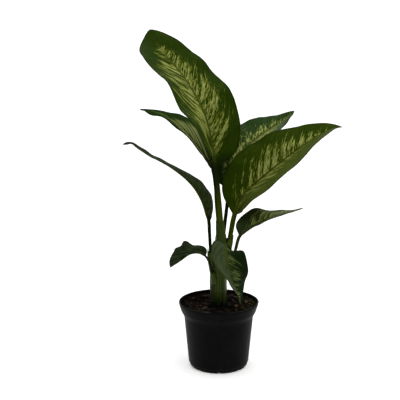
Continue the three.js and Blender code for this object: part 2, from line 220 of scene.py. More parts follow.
@dataclass
class Surface:
    """A mesh from a grid of points: row by row along it, and round it.

    Attributes:
        points: rows x columns x 3, in millimetres.
        round_along: joins the last row to the first.
        cap: how the first and last row are closed.
        values: numbers of the points, by name.
        chart: the UV map, in millimetres.
    """

    points: Array
    round_along: bool = False
    cap: Cap = Cap.NONE
    values: dict[str, Array] = field(default_factory=dict)
    chart: Array | None = None

    def faces(self) -> list[list[int]]:
        """The grid's faces, and then those that close its ends.

        Returns:
            The point numbers of each face. With rows counted along +Z and columns anticlockwise
            round it, the faces look outwards.
        """
        rows, columns = self.points.shape[:2]
        r = np.arange(rows if self.round_along else rows - 1)[:, None]
        c = np.arange(columns)[None, :]
        after, beside = (r + 1) % rows, (c + 1) % columns
        corners = [r * columns + c, r * columns + beside, after * columns + beside, after * columns + c]
        quads = np.stack(corners, -1).reshape(-1, 4).tolist()
        first = []
        if self.cap is Cap.DISC:
            first = [list(range(columns))[::-1]]
        elif self.cap is Cap.STRIPS:
            first = [[k, columns - 1 - k, columns - 2 - k, k + 1] for k in range(columns // 2 - 1)]
        return quads + first + [[(rows - 1) * columns + k for k in face[::-1]] for face in first]

    def mesh(self, name: str) -> Mesh:
        """Puts the grid into a mesh with round faces, its named values and its chart.

        Args:
            name: the mesh's name.

        Returns:
            The mesh. Each of `values` becomes an attribute of its points, and `chart` a UV map.
        """
        mesh = new_mesh(name, self.points, self.faces(), True)
        for key, value in self.values.items():
            keep_value(mesh, key, np.broadcast_to(value, self.points.shape[:2]))
        if self.chart is not None:
            corner = np.zeros(len(mesh.loops), np.int32)
            mesh.loops.foreach_get("vertex_index", corner)
            chart = mesh.uv_layers.new(name="chart")
            chart.uv.foreach_set("vector", self.chart.reshape(-1, 2)[corner].astype("f").ravel())
        mesh.validate()
        mesh.update()
        return mesh


def strewn_mesh(name: str, bodies: list[Array], tints: list[float] | None = None) -> Mesh:
    """One flat-shaded mesh of many closed bodies, which are grids of the same rows and columns.

    Args:
        name: the mesh's name.
        bodies: the points of each body, in millimetres.
        tints: a number for each body, which its material reads as `tint`.

    Returns:
        The mesh, with the points of the bodies one after another.
    """
    size = bodies[0][..., 0].size
    one = Surface(bodies[0], cap=Cap.DISC).faces()
    faces = [[size * body + k for k in face] for body in range(len(bodies)) for face in one]
    mesh = new_mesh(name, np.concatenate(bodies), faces, False)
    if tints:
        keep_value(mesh, "tint", np.repeat(tints, size))
    mesh.update()
    return mesh


def stand(name: str, data: bpy.types.ID) -> Piece:
    """Puts a new object with its data in the scene, at the origin."""
    made = bpy.data.objects.new(name, data)
    bpy.context.scene.collection.objects.link(made)
    return made


def place(name: str, mesh: Mesh, material: Material, slot: str) -> Piece:
    """Stands a mesh in the scene as a piece of the plant.

    Args:
        name: the piece's name.
        mesh: its mesh, in place.
        material: its finish.
        slot: not used.

    Returns:
        The piece, at the origin, riding on the plant's one body.
    """
    piece = stand(name, mesh)
    mesh.materials.append(material)
    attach(piece, BODY)
    log.info("%s: %d faces", name, len(mesh.polygons))
    return piece


class Blend(Enum):
    """How one colour is laid over another."""

    MIX = "MIX"
    MULTIPLY = "MULTIPLY"


class Nodes:
    """The node tree of a material or of the world. Each method adds a node and gives back its output."""

    def __init__(self, owner: Material | bpy.types.World) -> None:
        """Empties the owner's node tree."""
        self.owner = owner
        owner.use_nodes = True
        self.tree = owner.node_tree
        self.tree.nodes.clear()

    @classmethod
    def named(cls, name: str) -> "Nodes":
        """The node tree of a new material of that name."""
        return cls(bpy.data.materials.new(name))

    def node(self, kind: str, **settings: object) -> bpy.types.Node:
        """Adds a node of a kind and sets its own settings."""
        made = self.tree.nodes.new(kind)
        for key, value in settings.items():
            setattr(made, key, value)
        return made

    def feed(self, socket: Socket, value: object) -> None:
        """Links an output to a socket, or sets a plain value on it. A colour is made opaque."""
        if isinstance(value, Socket):
            self.tree.links.new(value, socket)
        elif value is not None:
            socket.default_value = (*value, 1.0) if socket.type == "RGBA" else value

    def fed(self, kind: str, **sockets: object) -> Socket:
        """The first output of a new node whose named inputs are set or linked. _ stands for a space."""
        made = self.node(kind)
        for name, value in sockets.items():
            self.feed(made.inputs[name.replace("_", " ")], value)
        return made.outputs[0]

    def math(self, operation: str, *inputs: object, clamp: bool = False) -> Socket:
        """One arithmetic step on one to three numbers."""
        made = self.node("ShaderNodeMath", operation=operation, use_clamp=clamp)
        for socket, value in zip(made.inputs, inputs):
            self.feed(socket, value)
        return made.outputs[0]

    def times(self, a: object, b: object) -> Socket:
        """The product of two numbers."""
        return self.math("MULTIPLY", a, b)

    def line(self, value: object, slope: object, start: object) -> Socket:
        """The value times a slope, plus a start."""
        return self.math("MULTIPLY_ADD", value, slope, start)

    def zigzag(self, value: object) -> Socket:
        """A wave that falls from 0.5 at a whole number to 0 halfway to the next."""
        return self.math("ABSOLUTE", self.math("SUBTRACT", self.math("FRACT", value), 0.5))

    def total(self, *parts: tuple[object, float]) -> Socket:
        """The sum of (output, weight) parts."""
        result = self.times(*parts[0])
        for value, weight in parts[1:]:
            result = self.line(value, weight, result)
        return result

    def rise(self, value: object, low: float, high: float) -> Socket:
        """A smooth step from 0 at low to 1 at high, where low may be the larger.

        Args:
            value: the number that is followed.
            low: where the step starts.
            high: where it ends.

        Returns:
            The step's output.
        """
        made = self.node("ShaderNodeMapRange", interpolation_type="SMOOTHSTEP")
        ends = (0.0, 1.0) if low < high else (1.0, 0.0)
        for socket, number in zip(list(made.inputs)[:5], (value, min(low, high), max(low, high), *ends)):
            self.feed(socket, number)
        return made.outputs[0]

    def mix(self, share: object, a: object, b: object, how: Blend = Blend.MIX) -> Socket:
        """Colour a at share 0 and b at share 1."""
        made = self.node("ShaderNodeMix", data_type="RGBA", blend_type=how.value)
        for number, value in zip((0, 6, 7), (share, a, b)):
            self.feed(made.inputs[number], value)
        return made.outputs[2]

    def coats(self, colour: object, *coats: tuple[Socket, object]) -> Socket:
        """A colour under coats of (share, colour), each laid over what came before."""
        for share, coat in coats:
            colour = self.mix(share, colour, coat)
        return colour

    def ramp(self, value: object, stops: Stops) -> Socket:
        """A colour ramp with the given stops.

        Args:
            value: the number that the colour follows.
            stops: (place, colour) in rising order.

        Returns:
            The colour.
        """
        made = self.node("ShaderNodeValToRGB")
        elements = made.color_ramp.elements
        for _ in stops[2:]:
            elements.new(0.5)
        for element, (position, colour) in zip(elements, stops):
            element.position, element.color = position, (*colour, 1.0)
        self.feed(made.inputs[0], value)
        return made.outputs[0]

    def value(self, name: str) -> Socket:
        """A named value of the mesh's points."""
        return self.node("ShaderNodeAttribute", attribute_name=name).outputs["Fac"]

    def chart(self, stretch: Pair = (1.0, 1.0), shift: float = 0.0) -> Socket:
        """The piece's own UV map, in millimetres, divided by `stretch` and moved by `shift`."""
        uv = self.node("ShaderNodeUVMap", uv_map="chart").outputs[0]
        return self.mapped(uv, (1.0 / stretch[0], 1.0 / stretch[1], 1.0), (shift, 0.37 * shift, shift))

    def place(self, scale: Point = (1.0, 1.0, 1.0)) -> Socket:
        """Object coordinates, in millimetres, times `scale`."""
        where = self.node("ShaderNodeTexCoord").outputs["Object"]
        return self.mapped(where, tuple(s / MM for s in scale), (0.0, 0.0, 0.0))

    def mapped(self, vector: object, scale: Point, shift: Point) -> Socket:
        """A Mapping node: the vector times a scale, then moved."""
        return self.fed("ShaderNodeMapping", Vector=vector, Scale=scale, Location=shift)

    def noise(self, vector: object, scale: float = 1.0, detail: float = 2.0, rough: float = 0.5,
              bend: float = 0.0) -> Socket:
        """Fractal noise, about 0.3 to 0.7, with features of about 1 / scale."""
        return self.fed("ShaderNodeTexNoise", Vector=vector, Scale=scale, Detail=detail, Roughness=rough,
                        Distortion=bend)

    def chart_noise(self, stretch: Pair, shift: float = 0.0, detail: float = 2.0,
                    rough: float = 0.5) -> Socket:
        """Noise on the chart, with features of about `stretch` millimetres."""
        return self.noise(self.chart(stretch, shift), 1.0, detail, rough)

    def cells(self, vector: object, scale: float = 1.0) -> Socket:
        """Distance to the nearest of many scattered points."""
        return self.fed("ShaderNodeTexVoronoi", Vector=vector, Scale=scale)

    def bump(self, height: object, depth: float, strength: float = 1.0, under: object = None) -> Socket:
        """A bump of the given depth in millimetres, laid over another normal."""
        return self.fed("ShaderNodeBump", Height=height, Normal=under, Distance=depth * MM, Strength=strength)

    def finish(self, colour: Socket, rough: object, gloss: object, normal: object = None,
               **more: object) -> Material:
        """Adds the Principled shader with its sockets set or linked, and gives the material."""
        shader = self.fed("ShaderNodeBsdfPrincipled", Base_Color=colour, Roughness=rough,
                          Specular_IOR_Level=gloss, Normal=normal, **more)
        self.feed(self.node("ShaderNodeOutputMaterial").inputs[0], shader)
        return self.owner

    def split(self, vector: object) -> list[Socket]:
        """The three numbers of a vector."""
        return list(self.fed("ShaderNodeSeparateXYZ", Vector=vector).node.outputs)


@dataclass(frozen=True)
class LeafSkin:
    """A dieffenbachia leaf: dark green, with cream feathered along its side veins round the midrib.

    The mesh gives `cream`, how far inside the cream part a point lies, `flecked`, how far the cream
    is broken into flecks and not into streaks, `rib`, the distance from the midrib in widths of its
    line, `edge`, the distance from the margin in millimetres, `painted_sheen`, the share of a paler
    painted sheen that a half turned to the light shows, `under`, 1 on the lower side, `blade`, the
    share of the blade's length, `painted_shade`, how far painted shade darkens a stalk and the
    blade's base, and `dry`, 1 at a dried tip. Its chart has the place where a side vein leaves the
    midrib as u and the distance from the midrib as v.
    """

    seed: float
    green: Colour = (0.03, 0.058, 0.0015)
    middle: Colour = (0.06, 0.085, 0.003)
    lime: Colour = (0.13, 0.16, 0.012)
    pale: Colour = (0.21, 0.24, 0.04)
    cream: Colour = (0.36, 0.38, 0.11)
    back: Colour = (0.03, 0.044, 0.011)
    rib: Colour = (0.05, 0.064, 0.004)
    painted_sheen: Colour = (0.05, 0.07, 0.028)
    dusk: Colour = (0.006, 0.011, 0.003)
    dried: Colour = (0.045, 0.03, 0.016)
    grain: Pair = (3.2, 20.0)
    flame: Pair = (10.0, 30.0)
    vein_gap: float = 5.0
    solid: float = 0.1
    steep: float = 1.0
    blotchy: float = 1.3
    streaky: float = 1.9
    specks: float = 0.8
    striped: float = 0.3
    tongues: float = 0.0
    tongue_gap: float = 16.0
    dark: float = 0.6
    gloss: float = 0.015

    def streaks(self, n: Nodes, veins: Socket) -> Socket:
        """Where the cream shows: its reach, made ragged by noise that is long along the side veins.

        A flecked half has short noise in place of the long one. A streaked half is greener on its veins.
        Tongues of cream, one in each `tongue_gap`, are a triangle wave of the chart's u with noise.

        Args:
            n: the tree that the nodes are added to.
            veins: 1 on a side vein.

        Returns:
            A number that is above 0 in the cream.
        """
        long = n.chart_noise(self.grain, self.seed, 2.0, 0.55)
        fine = n.chart_noise((1.8, 6.0), self.seed + 3.0, 2.5, 0.6)
        cloud = n.chart_noise(self.flame, self.seed + 7.0, 1.0)
        reach = n.math("MINIMUM", n.times(n.value("cream"), self.steep), self.solid)
        ragged = n.line(n.math("SUBTRACT", fine, long), n.value("flecked"), long)
        lines = n.times(veins, n.math("SUBTRACT", n.value("flecked"), 0.8))
        tongue = n.zigzag(n.line(cloud, 1.6, n.split(n.chart((self.tongue_gap, 1.0), 0.3))[0]))
        uneven = ((ragged, 0.5, self.streaky), (fine, 0.5, self.specks), (cloud, 0.5, self.blotchy),
                  (tongue, 0.25, self.tongues))
        parts = [(n.math("SUBTRACT", value, usual), weight) for value, usual, weight in uneven]
        return n.math("ADD", reach, n.total(*parts, (lines, self.striped)))

    def side_veins(self, n: Nodes) -> Socket:
        """1 on the line of each side vein and 0 between them: a pulse of the chart's u."""
        return n.rise(n.zigzag(n.split(n.chart((self.vein_gap, 1.0)))[0]), 0.36, 0.5)

    def upper(self, n: Nodes, field_: Socket, veins: Socket, rib_line: Socket) -> Socket:
        """The upper side: green to cream by the field, mottled, with the veins in olive and a painted sheen
        on a half turned to the light.

        Args:
            n: the tree that the nodes are added to.
            field_: where the cream shows.
            veins: 1 on a side vein.
            rib_line: 1 on the midrib.

        Returns:
            The colour.
        """
        stops = ((0.32, self.green), (0.44, self.middle), (0.56, self.lime), (0.67, self.pale),
                 (0.84, self.cream))
        colour = n.ramp(n.math("ADD", field_, 0.5, clamp=True), stops)
        mottle = n.rise(n.chart_noise((3.0, 8.0), self.seed + 11.0, 3.0, 0.6), 0.42, 0.68)
        colour = n.mix(n.times(mottle, self.dark), colour, (0.4, 0.52, 0.4), Blend.MULTIPLY)
        # Painted sheen: a paler coat, broken by noise, on a half turned to the light.
        wax_and_painted_sheen = n.rise(n.chart_noise((5.0, 12.0), self.seed + 17.0, 3.0), 0.3, 0.6)
        wax_and_painted_sheen = n.times(n.line(wax_and_painted_sheen, 0.45, 0.55), n.value("painted_sheen"))
        return n.coats(colour, (n.times(veins, 0.22), self.middle), (wax_and_painted_sheen, self.painted_sheen), (rib_line, self.rib))

    def lower(self, n: Nodes, field_: Socket, veins: Socket, rib_line: Socket) -> Socket:
        """The lower side: greyer, mottled, with the cream only shining through and the veins paler.

        Args:
            n: the tree that the nodes are added to.
            field_: where the cream shows.
            veins: 1 on a side vein.
            rib_line: 1 on the midrib.

        Returns:
            The colour.
        """
        through = n.times(n.rise(field_, -0.1, 0.4), 0.3)
        mottle = n.rise(n.chart_noise((5.0, 9.0), self.seed + 11.0, 3.0, 0.6), 0.4, 0.62)
        return n.coats(self.back, (through, self.cream), (n.times(mottle, self.dark), self.dusk),
                       (n.times(veins, 0.2), self.rib), (rib_line, self.rib))

    def stalk(self, n: Nodes) -> Socket:
        """The stalk: streaked lengthwise, with small pale flecks.

        Args:
            n: the tree that the nodes are added to.

        Returns:
            The colour.
        """
        grain = n.chart_noise((34.0, 0.9), self.seed, 3.0, 0.6)
        flecks = n.rise(n.cells(n.chart((5.0, 1.6), self.seed)), 0.3, 0.12)
        colour = n.ramp(grain, ((0.34, self.green), (0.46, self.middle), (0.62, self.rib), (0.75, self.lime)))
        return n.mix(n.times(flecks, 0.2), colour, self.lime)

    def build(self, name: str) -> Material:
        """Joins the upper side, the lower side and the stalk into one skin.

        Args:
            name: the material's name.

        Returns:
            The material.
        """
        n = Nodes.named(name)
        veins = self.side_veins(n)
        field_ = self.streaks(n, veins)
        rib_line = n.times(n.rise(n.value("rib"), 1.45, 0.85), n.rise(n.value("blade"), 0.95, 0.7))
        under, edge = n.value("under"), n.value("edge")
        colour = n.coats(
            self.upper(n, field_, veins, rib_line),
            (under, self.lower(n, field_, veins, rib_line)),
            (n.rise(n.value("blade"), 0.02, -0.01), self.stalk(n)),
            # Painted shade: the dark colour laid over the stalk and the blade's base.
            (n.value("painted_shade"), self.dusk),
            (n.times(n.rise(edge, 4.5, 0.5), 0.4), self.dusk),
            (n.times(n.rise(edge, 0.7, 0.15), 0.1), self.lime),
            (n.value("dry"), self.dried),
        )
        wax_and_painted_sheen = n.chart_noise((9.0, 9.0), self.seed)
        pores = n.chart_noise((0.5, 0.8), self.seed, 3.0, 0.7)
        relief = n.total((pores, 0.4), (n.chart_noise((1.2, 14.0), self.seed), 0.6), (veins, 0.3))
        gloss = n.line(under, -0.8 * self.gloss, self.gloss)
        return n.finish(colour, n.line(wax_and_painted_sheen, 0.3, 0.3), gloss, n.bump(relief, 0.12, 0.5))


@dataclass(frozen=True)
class SheathSkin:
    """The stem's skin: yellow-green, streaked lengthwise, darkened by painted shade towards its foot and in
    bands on its sides.
    """

    name: str = "sheath_skin"
    light: Colour = (0.068, 0.092, 0.01)
    leafy: Colour = (0.029, 0.05, 0.006)
    dark: Colour = (0.013, 0.024, 0.003)
    foot: Colour = (0.004, 0.0095, 0.006)
    dry: Colour = (0.075, 0.06, 0.02)

    def build(self) -> Material:
        """Streaks of noise drawn out along the stem, over painted shade that darkens it towards the foot and
        on its sides.

        Returns:
            The material.
        """
        n = Nodes.named(self.name)
        streak = n.chart_noise((70.0, 2.6), 0.0, 3.0, 0.6)
        broad = n.chart_noise((90.0, 9.0), 4.0, 1.0)
        both = n.total((streak, 0.6), (broad, 0.4))
        worn = n.rise(n.chart_noise((14.0, 5.0), 9.0, 3.0, 0.7), 0.62, 0.72)
        # Painted shade: the skin darkens towards its foot, below a ragged line.
        painted_foot_shade = n.math("SUBTRACT", n.value("depth"), n.chart_noise((11.0, 4.0), 2.0, 3.0))
        colour = n.coats(
            n.ramp(both, ((0.38, self.dark), (0.47, self.leafy), (0.57, self.light))),
            (n.times(worn, 0.25), self.dry),
            # Painted shade in bands on the stem's sides.
            (n.value("side"), self.dark),
            (n.value("lip"), self.dark),
            (n.value("ring"), self.dry),
            # Painted shade at the foot.
            (n.rise(painted_foot_shade, 0.0, -0.45), self.foot),
        )
        relief = n.total((streak, 1.0), (n.chart_noise((1.2, 0.9)), 0.3))
        return n.finish(colour, n.line(broad, 0.25, 0.3), 0.08, n.bump(relief, 0.25, 0.6))


@dataclass(frozen=True)
class PottingSoil:
    """Dark moist peat: brown on its crumbs, nearly black in its hollows from painted shade, reddish or mossy
    in places.
    """

    name: str = "potting_soil"
    painted_hollow_shade: Colour = (0.001, 0.0007, 0.0003)
    peat: Colour = (0.0035, 0.0024, 0.0011)
    crumb: Colour = (0.0068, 0.0044, 0.002)
    red: Colour = (0.013, 0.0052, 0.0024)
    moss: Colour = (0.034, 0.042, 0.012)
    moss_side: Pair = (36.0, 50.0)

    def build(self) -> Material:
        """Colour from the relief of the crumbs, with painted shade in the hollows, broken by noise.

        Returns:
            The material.
        """
        n = Nodes.named(self.name)
        grain = n.noise(n.place(), 1.3, 5.0, 0.7)
        height = n.total((n.value("height"), 0.7), (grain, 0.5))
        # Painted shade: the lowest points among the crumbs turn nearly black, and the crumb tops are brown.
        colour = n.ramp(height, ((0.3, self.painted_hollow_shade), (0.55, self.peat), (0.85, self.crumb)))
        patch = n.rise(n.noise(n.place(), 0.09), 0.5, 0.65)
        tufts = n.rise(n.noise(n.place(), 0.3, 3.0, 0.7), 0.5, 0.62)
        mossy = n.times(tufts, n.rise(n.split(n.place())[0], *self.moss_side))
        colour = n.coats(colour, (n.times(patch, 0.6), self.red), (mossy, self.moss))
        return n.finish(colour, n.line(grain, 0.2, 0.78), 0.02, n.bump(grain, 0.8, 0.8))


@dataclass(frozen=True)
class Bark:
    """Bark chips and plant fibre, each piece with a tint of its own, grained along its length."""

    name: str = "bark"
    stops: Stops = (
        (0.0, (0.003, 0.002, 0.0015)),
        (0.5, (0.0075, 0.004, 0.0022)),
        (0.8, (0.02, 0.008, 0.004)),
        (0.9, (0.04, 0.016, 0.007)),
        (1.0, (0.13, 0.09, 0.045)),
    )

    def build(self) -> Material:
        """The tint, darkened along the grain.

        Returns:
            The material.
        """
        n = Nodes.named(self.name)
        grain = n.noise(n.place((0.5, 1.6, 1.6)), 1.0, 4.0, 0.65)
        colour = n.ramp(n.value("tint"), self.stops)
        colour = n.mix(n.rise(grain, 0.65, 0.35), colour, (0.4, 0.38, 0.36), Blend.MULTIPLY)
        return n.finish(colour, n.line(grain, 0.2, 0.72), 0.08, n.bump(grain, 0.4, 0.7))


@dataclass(frozen=True)
class NurseryPlastic:
    """Black moulded plastic: a fine grain, a few scuffs, and dust that settles towards the foot."""

    name: str = "nursery_plastic"
    black: Colour = (0.0019, 0.0022, 0.0021)
    worn: Colour = (0.0036, 0.0039, 0.0038)
    dust: Colour = (0.009, 0.0085, 0.0075)

    def build(self) -> Material:
        """Fine grain, cloudy wear, thin scuffs round the wall and dust by height.

        Returns:
            The material.
        """
        n = Nodes.named(self.name)
        grain = n.noise(n.place(), 2.2, 3.0, 0.7)
        cloud = n.noise(n.place(), 0.05, 3.0, 0.6)
        scuff = n.noise(n.place((0.05, 0.05, 1.1)), 1.0, 3.0, 0.7, 0.4)
        scuffs = n.times(n.rise(scuff, 0.64, 0.72), n.rise(cloud, 0.45, 0.6))
        low = n.rise(n.line(cloud, -14.0, n.split(n.place())[2]), 4.0, -6.0)
        colour = n.coats(self.black, (n.rise(cloud, 0.35, 0.75), self.worn),
                         (n.times(scuffs, 0.5), self.dust), (n.times(low, 0.5), self.dust))
        rough = n.math("ADD", n.total((cloud, 0.22), (scuffs, 0.12), (grain, 0.1)), 0.3)
        return n.finish(colour, rough, 0.03, n.bump(grain, 0.08, 0.5, n.bump(scuff, 0.1, 0.3)))


@dataclass(frozen=True)
class StudioFloor:
    """A pale floor that turns dark in front of the plant, as with a black cloth before the camera."""

    name: str = "studio_floor"
    pale: Colour = (0.92, 0.92, 0.92)
    paler: Colour = (0.94, 0.94, 0.94)
    cloth: Colour = (0.03, 0.03, 0.03)

    def build(self) -> Material:
        """Two pale greys in very large soft patches, and the cloth from 0.25 m before the plant.

        Returns:
            The material.
        """
        n = Nodes.named(self.name)
        colour = n.mix(n.noise(n.place(), 0.004), self.pale, self.paler)
        front = n.rise(n.split(n.place())[1], -250.0, -700.0)
        return n.finish(n.mix(front, colour, self.cloth), 0.9, 0.1, Emission_Color=(1.0, 1.0, 1.0),
                        Emission_Strength=0.25)


@dataclass(frozen=True)
class Midline:
    """The line that a leaf grows along: a centripetal Catmull-Rom curve through given points.

    Between two points the curve is a cubic whose slopes at both ends come from the neighbours, each
    weighted by the square root of the chord between them.
    """

    points: tuple[Point, ...]
    steps_each: int = 40

    def at(self, share: Array) -> Array:
        """The place at a share of the curve's parameter, which runs evenly from point to point.

        Args:
            share: from 0 at the first point to 1 at the last.

        Returns:
            The places, one row each.
        """
        given = np.array(self.points, float)
        ends = [2.0 * given[0] - given[1], 2.0 * given[-1] - given[-2]]
        p = np.vstack([ends[:1], given, ends[1:]])
        scaled = np.clip(share, 0.0, 1.0) * (len(given) - 1)
        i = np.minimum(scaled.astype(int), len(given) - 2)
        x = (scaled - i)[:, None]
        a, b, c, d = p[i], p[i + 1], p[i + 2], p[i + 3]
        ab, bc, cd = (np.sqrt(np.linalg.norm(q - r, axis=1))[:, None] for q, r in ((b, a), (c, b), (d, c)))
        start = ((b - a) / ab - (c - a) / (ab + bc) + (c - b) / bc) * bc
        end = ((c - b) / bc - (d - b) / (bc + cd) + (d - c) / cd) * bc
        bend = -3.0 * b + 3.0 * c - 2.0 * start - end
        return b + start * x + bend * x**2 + (2.0 * b - 2.0 * c + start + end) * x**3

    @cached_property
    def table(self) -> tuple[Array, Array]:
        """Parameters at even steps, and the length of the curve up to each."""
        share = np.linspace(0.0, 1.0, self.steps_each * (len(self.points) - 1) + 1)
        hops = np.linalg.norm(np.diff(self.at(share), axis=0), axis=1)
        return share, np.r_[0.0, np.cumsum(hops)]

    def follow(self, length: Array) -> tuple[Array, Array]:
        """Places and unit directions at lengths along the curve, in millimetres.

        Args:
            length: how far along the curve each place lies.

        Returns:
            The places and the directions.
        """
        share, lengths = self.table
        t = np.interp(length, lengths, share)
        near, far = np.clip(t - 1e-4, 0.0, 1.0), np.clip(t + 1e-4, 0.0, 1.0)
        return self.at(t), unit(self.at(far) - self.at(near))


@dataclass(frozen=True)
class Leaf:
    """A stalk and its blade, grown as one piece.

    Attributes:
        lean: the compass direction in which the stalk leans off the stem.
        half_width: the widest half of the blade.
        sheath: how far the sheath holds the stalk.
        radii: of the stalk, at its foot and at the blade.
        stalk: points of the stalk, up to the blade.
        midrib: points of the midrib, from the blade's base to its tip.
        faces: the way the upper side looks (compass, height) at the blade's base, middle and tip.
        shape: how steeply the width rises from the base and falls to the tip.
        fold: rise of the two halves at the midrib, in degrees, at even steps along the blade.
        droop: what is added to that rise out to the margin.
        wave: height, number and phase of the waves in the margin.
        lobe: how far the base of each half runs back beside the stalk.
        base: how gently each half of the blade widens at its base.
        peak: a point that the margin is drawn up to: its half, place along the blade, height and spread.
        cream_reach: how far the cream reaches out in each half, as a share of it, at even steps.
        flecked: how far each half's cream is broken into flecks and not into streaks.
        painted_sheen: the share of painted sheen on each half.
        painted_shade: how far painted shade darkens the stalk at its foot and at the blade.
        forward: how far the side veins run towards the tip for each step out.
        dry_tip: the share of the blade that has dried at its tip.
        rim_step: the last step of the grid before the margin.
        keel: how deep the midrib is, in its half widths.
        groove: depth and half width of the groove over the midrib.
        vein_swell: how high the blade swells between its side veins.
        pucker: height and length of the blade's unevenness.
    """

    name: str
    lean: float
    half_width: float
    sheath: float
    radii: Pair
    stalk: tuple[Point, ...]
    midrib: tuple[Point, ...]
    faces: tuple[Pair, Pair, Pair]
    shape: Pair
    fold: tuple[Pair, ...]
    wave: Point
    skin: LeafSkin
    cream_reach: tuple[tuple[float, ...], tuple[float, ...]] = ((-0.1, 0.34, 0.5, 0.42, 0.0),) * 2
    flecked: Pair = (0.3, 0.3)
    painted_sheen: Pair = (0.0, 0.0)
    painted_shade: Pair = (0.3, 0.3)
    forward: float = 0.9
    droop: tuple[Pair, ...] = ((0, 0), (-10, -10), (-10, -10))
    lobe: float = 6.0
    base: Pair = (0.03, 0.03)
    peak: tuple[int, float, float, float] = (0, 0.0, 0.0, 1.0)
    dry_tip: float = 0.012
    columns: int = 30
    row_step: float = 1.1
    stalk_rows: int = 60
    cad_margin: float = 0.8
    margin: float = 0.5
    stalk_roundness: float = 0.5
    rim_step: float = 0.35
    keel: float = 1.45
    groove: Pair = (0.1, 1.1)
    vein_swell: float = 0.13
    pucker: Pair = (0.35, 26.0)

    @cached_property
    def line(self) -> Midline:
        """The curve through the stalk's points and on along the midrib's."""
        return Midline(self.stalk + self.midrib)

    @cached_property
    def stalk_length(self) -> float:
        """The length of the curve up to the blade."""
        return float(self.line.table[1][self.line.steps_each * len(self.stalk)])

    @cached_property
    def total(self) -> float:
        """The length of the whole curve."""
        return float(self.line.table[1][-1])

    def share(self, length: Array) -> Array:
        """The share of the blade's length, which is 0 on the stalk."""
        return np.clip((length - self.stalk_length) / (self.total - self.stalk_length), 0.0, 1.0)

    def blade_width(self, t: Array, half: int) -> Array:
        """Half the blade's width without the rib.

        Formula: (t / m)^rise ((1 - t) / (1 - m))^fall, which is 1 at m = rise / (rise + fall), times
        1 - exp(-t / base), which rounds the base.

        Args:
            t: the share of the blade's length.
            half: 0 or 1.

        Returns:
            The width of that half, in millimetres.
        """
        rise, fall = self.shape
        widest = rise / (rise + fall)
        rounded_ = 1.0 - np.exp(-t / self.base[half])
        return self.half_width * rounded_ * (t / widest) ** rise * ((1.0 - t) / (1.0 - widest)) ** fall

    def frame(self, length: Array) -> tuple[Array, Array, Array]:
        """The curve's places, and the directions of its upper side and of its one side, at each length.

        Args:
            length: where along the curve, in millimetres.

        Returns:
            Three arrays of a row for each length.
        """
        place_, out = self.line.follow(length)
        t = self.share(length)[:, None]
        up, on_stalk = -direction(self.lean, 0.0), length[:, None] / self.stalk_length
        shares = (smooth(0.3, 1.0, on_stalk), smooth(0.0, 0.5, t), smooth(0.5, 1.0, t))
        for facing, share in zip(self.faces, shares):
            up = between((up, direction(*facing)), share)
        up = unit(up - out * dot(up, out))
        return place_, up, np.cross(out, up)

    def rings(self, length: Array, columns: int, grow: Array | float = 0.0,
              margin: float | None = None, relief: bool = False) -> tuple[Array, Array, Array, Array]:
        """Cross-sections of the leaf: the upper side from margin to margin, then back along the lower.

        Formula: each half is an arc. It leaves the midrib at the fold's slope, and its slope turns evenly
        until it has changed by the droop at the margin. The lower side lies under it by the thickness,
        which has the rib's round keel in the middle.

        Args:
            length: where the sections are, along the curve.
            columns: how many steps each half has.
            grow: by how much the section is larger all round.
            margin: the blade's thickness at its margin.
            relief: adds the relief of the veins.

        Returns:
            The points, sections x 4 columns + 2 x 3, and the signed distance from the midrib, the width
            of the half and the share of the blade's length at each.
        """
        margin = self.margin if margin is None else margin
        place_, up, side = (vectors[:, None] for vectors in self.frame(length))
        out = np.cross(up, side)
        grow = np.broadcast_to(grow, length.shape)[:, None]
        length = length[:, None]
        t = self.share(length)
        stalk_share = np.minimum(length / self.stalk_length, 1.0)
        rib = between(self.radii, stalk_share) * (0.85 * (1.0 - t) ** 0.8 + 0.15) + grow
        rib_depth = self.keel * rib * (0.45 + 0.55 * (1.0 - t) ** 1.2) + grow
        opened = smooth(0.0, 0.08, t)
        centre = place_ + up * (0.4 * rib_depth * (1.0 - opened))[..., None]
        even = np.arange(columns + 1) / columns
        spaced = even ** (1.0 + 0.6 * smooth(0.0, 0.05, t))
        height, count, phase = self.wave
        halves = []
        for sign, half in ((1.0, 0), (-1.0, 1)):
            width = rib + self.blade_width(t, half)
            rises = ([pair[half] for pair in pairs] for pairs in (self.fold, self.droop))
            fold, droop = (np.radians(steps(rise, t)) for rise in rises)
            start = opened * fold
            turn = (1.0 - opened) * self.stalk_roundness + opened * (fold + droop) - start
            bend = np.where(np.abs(turn) < 1e-6, 1e-6, turn) / width
            rim = 1.0 - self.rim_step / np.maximum(width, 1.0)
            share = np.where(even > 0.999, 1.0, spaced * rim / np.maximum(spaced[:, -2:-1], 1e-6))
            distance = width * share
            slope = start + bend * distance
            reach = (distance / self.half_width) ** 2
            waved = height * np.sin(2.0 * pi * (count * t + phase + 0.37 * half)) * smooth(0.0, 0.2, t)
            if half == self.peak[0]:
                waved = waved + self.peak[2] * np.exp(-(((t - self.peak[1]) / self.peak[3]) ** 2))
            ripple = reach * waved
            if relief:
                ripple = ripple + self.vein_relief(length, sign * distance, width, t)
            back = self.lobe * reach * ((1.0 - t) ** 5 * (t > 0.0))
            across = sign * (np.sin(slope) - np.sin(start)) / bend
            above = (np.cos(start) - np.cos(slope)) / bend + ripple + grow
            top = centre + side * across[..., None] + up * above[..., None] - out * back[..., None]
            keel = np.sqrt(np.clip(1.0 - (distance / rib) ** 2, 0.0, 1.0))
            depth = margin + 2.0 * grow + (rib_depth - margin) * keel
            off = distance > 0.0
            normal = (up * np.where(off, np.cos(slope), 1.0)[..., None]
                      - side * np.where(off, sign * np.sin(slope), 0.0)[..., None])
            wide = width * np.ones_like(distance)
            halves.append((top, top - normal * depth[..., None], sign * distance, wide))
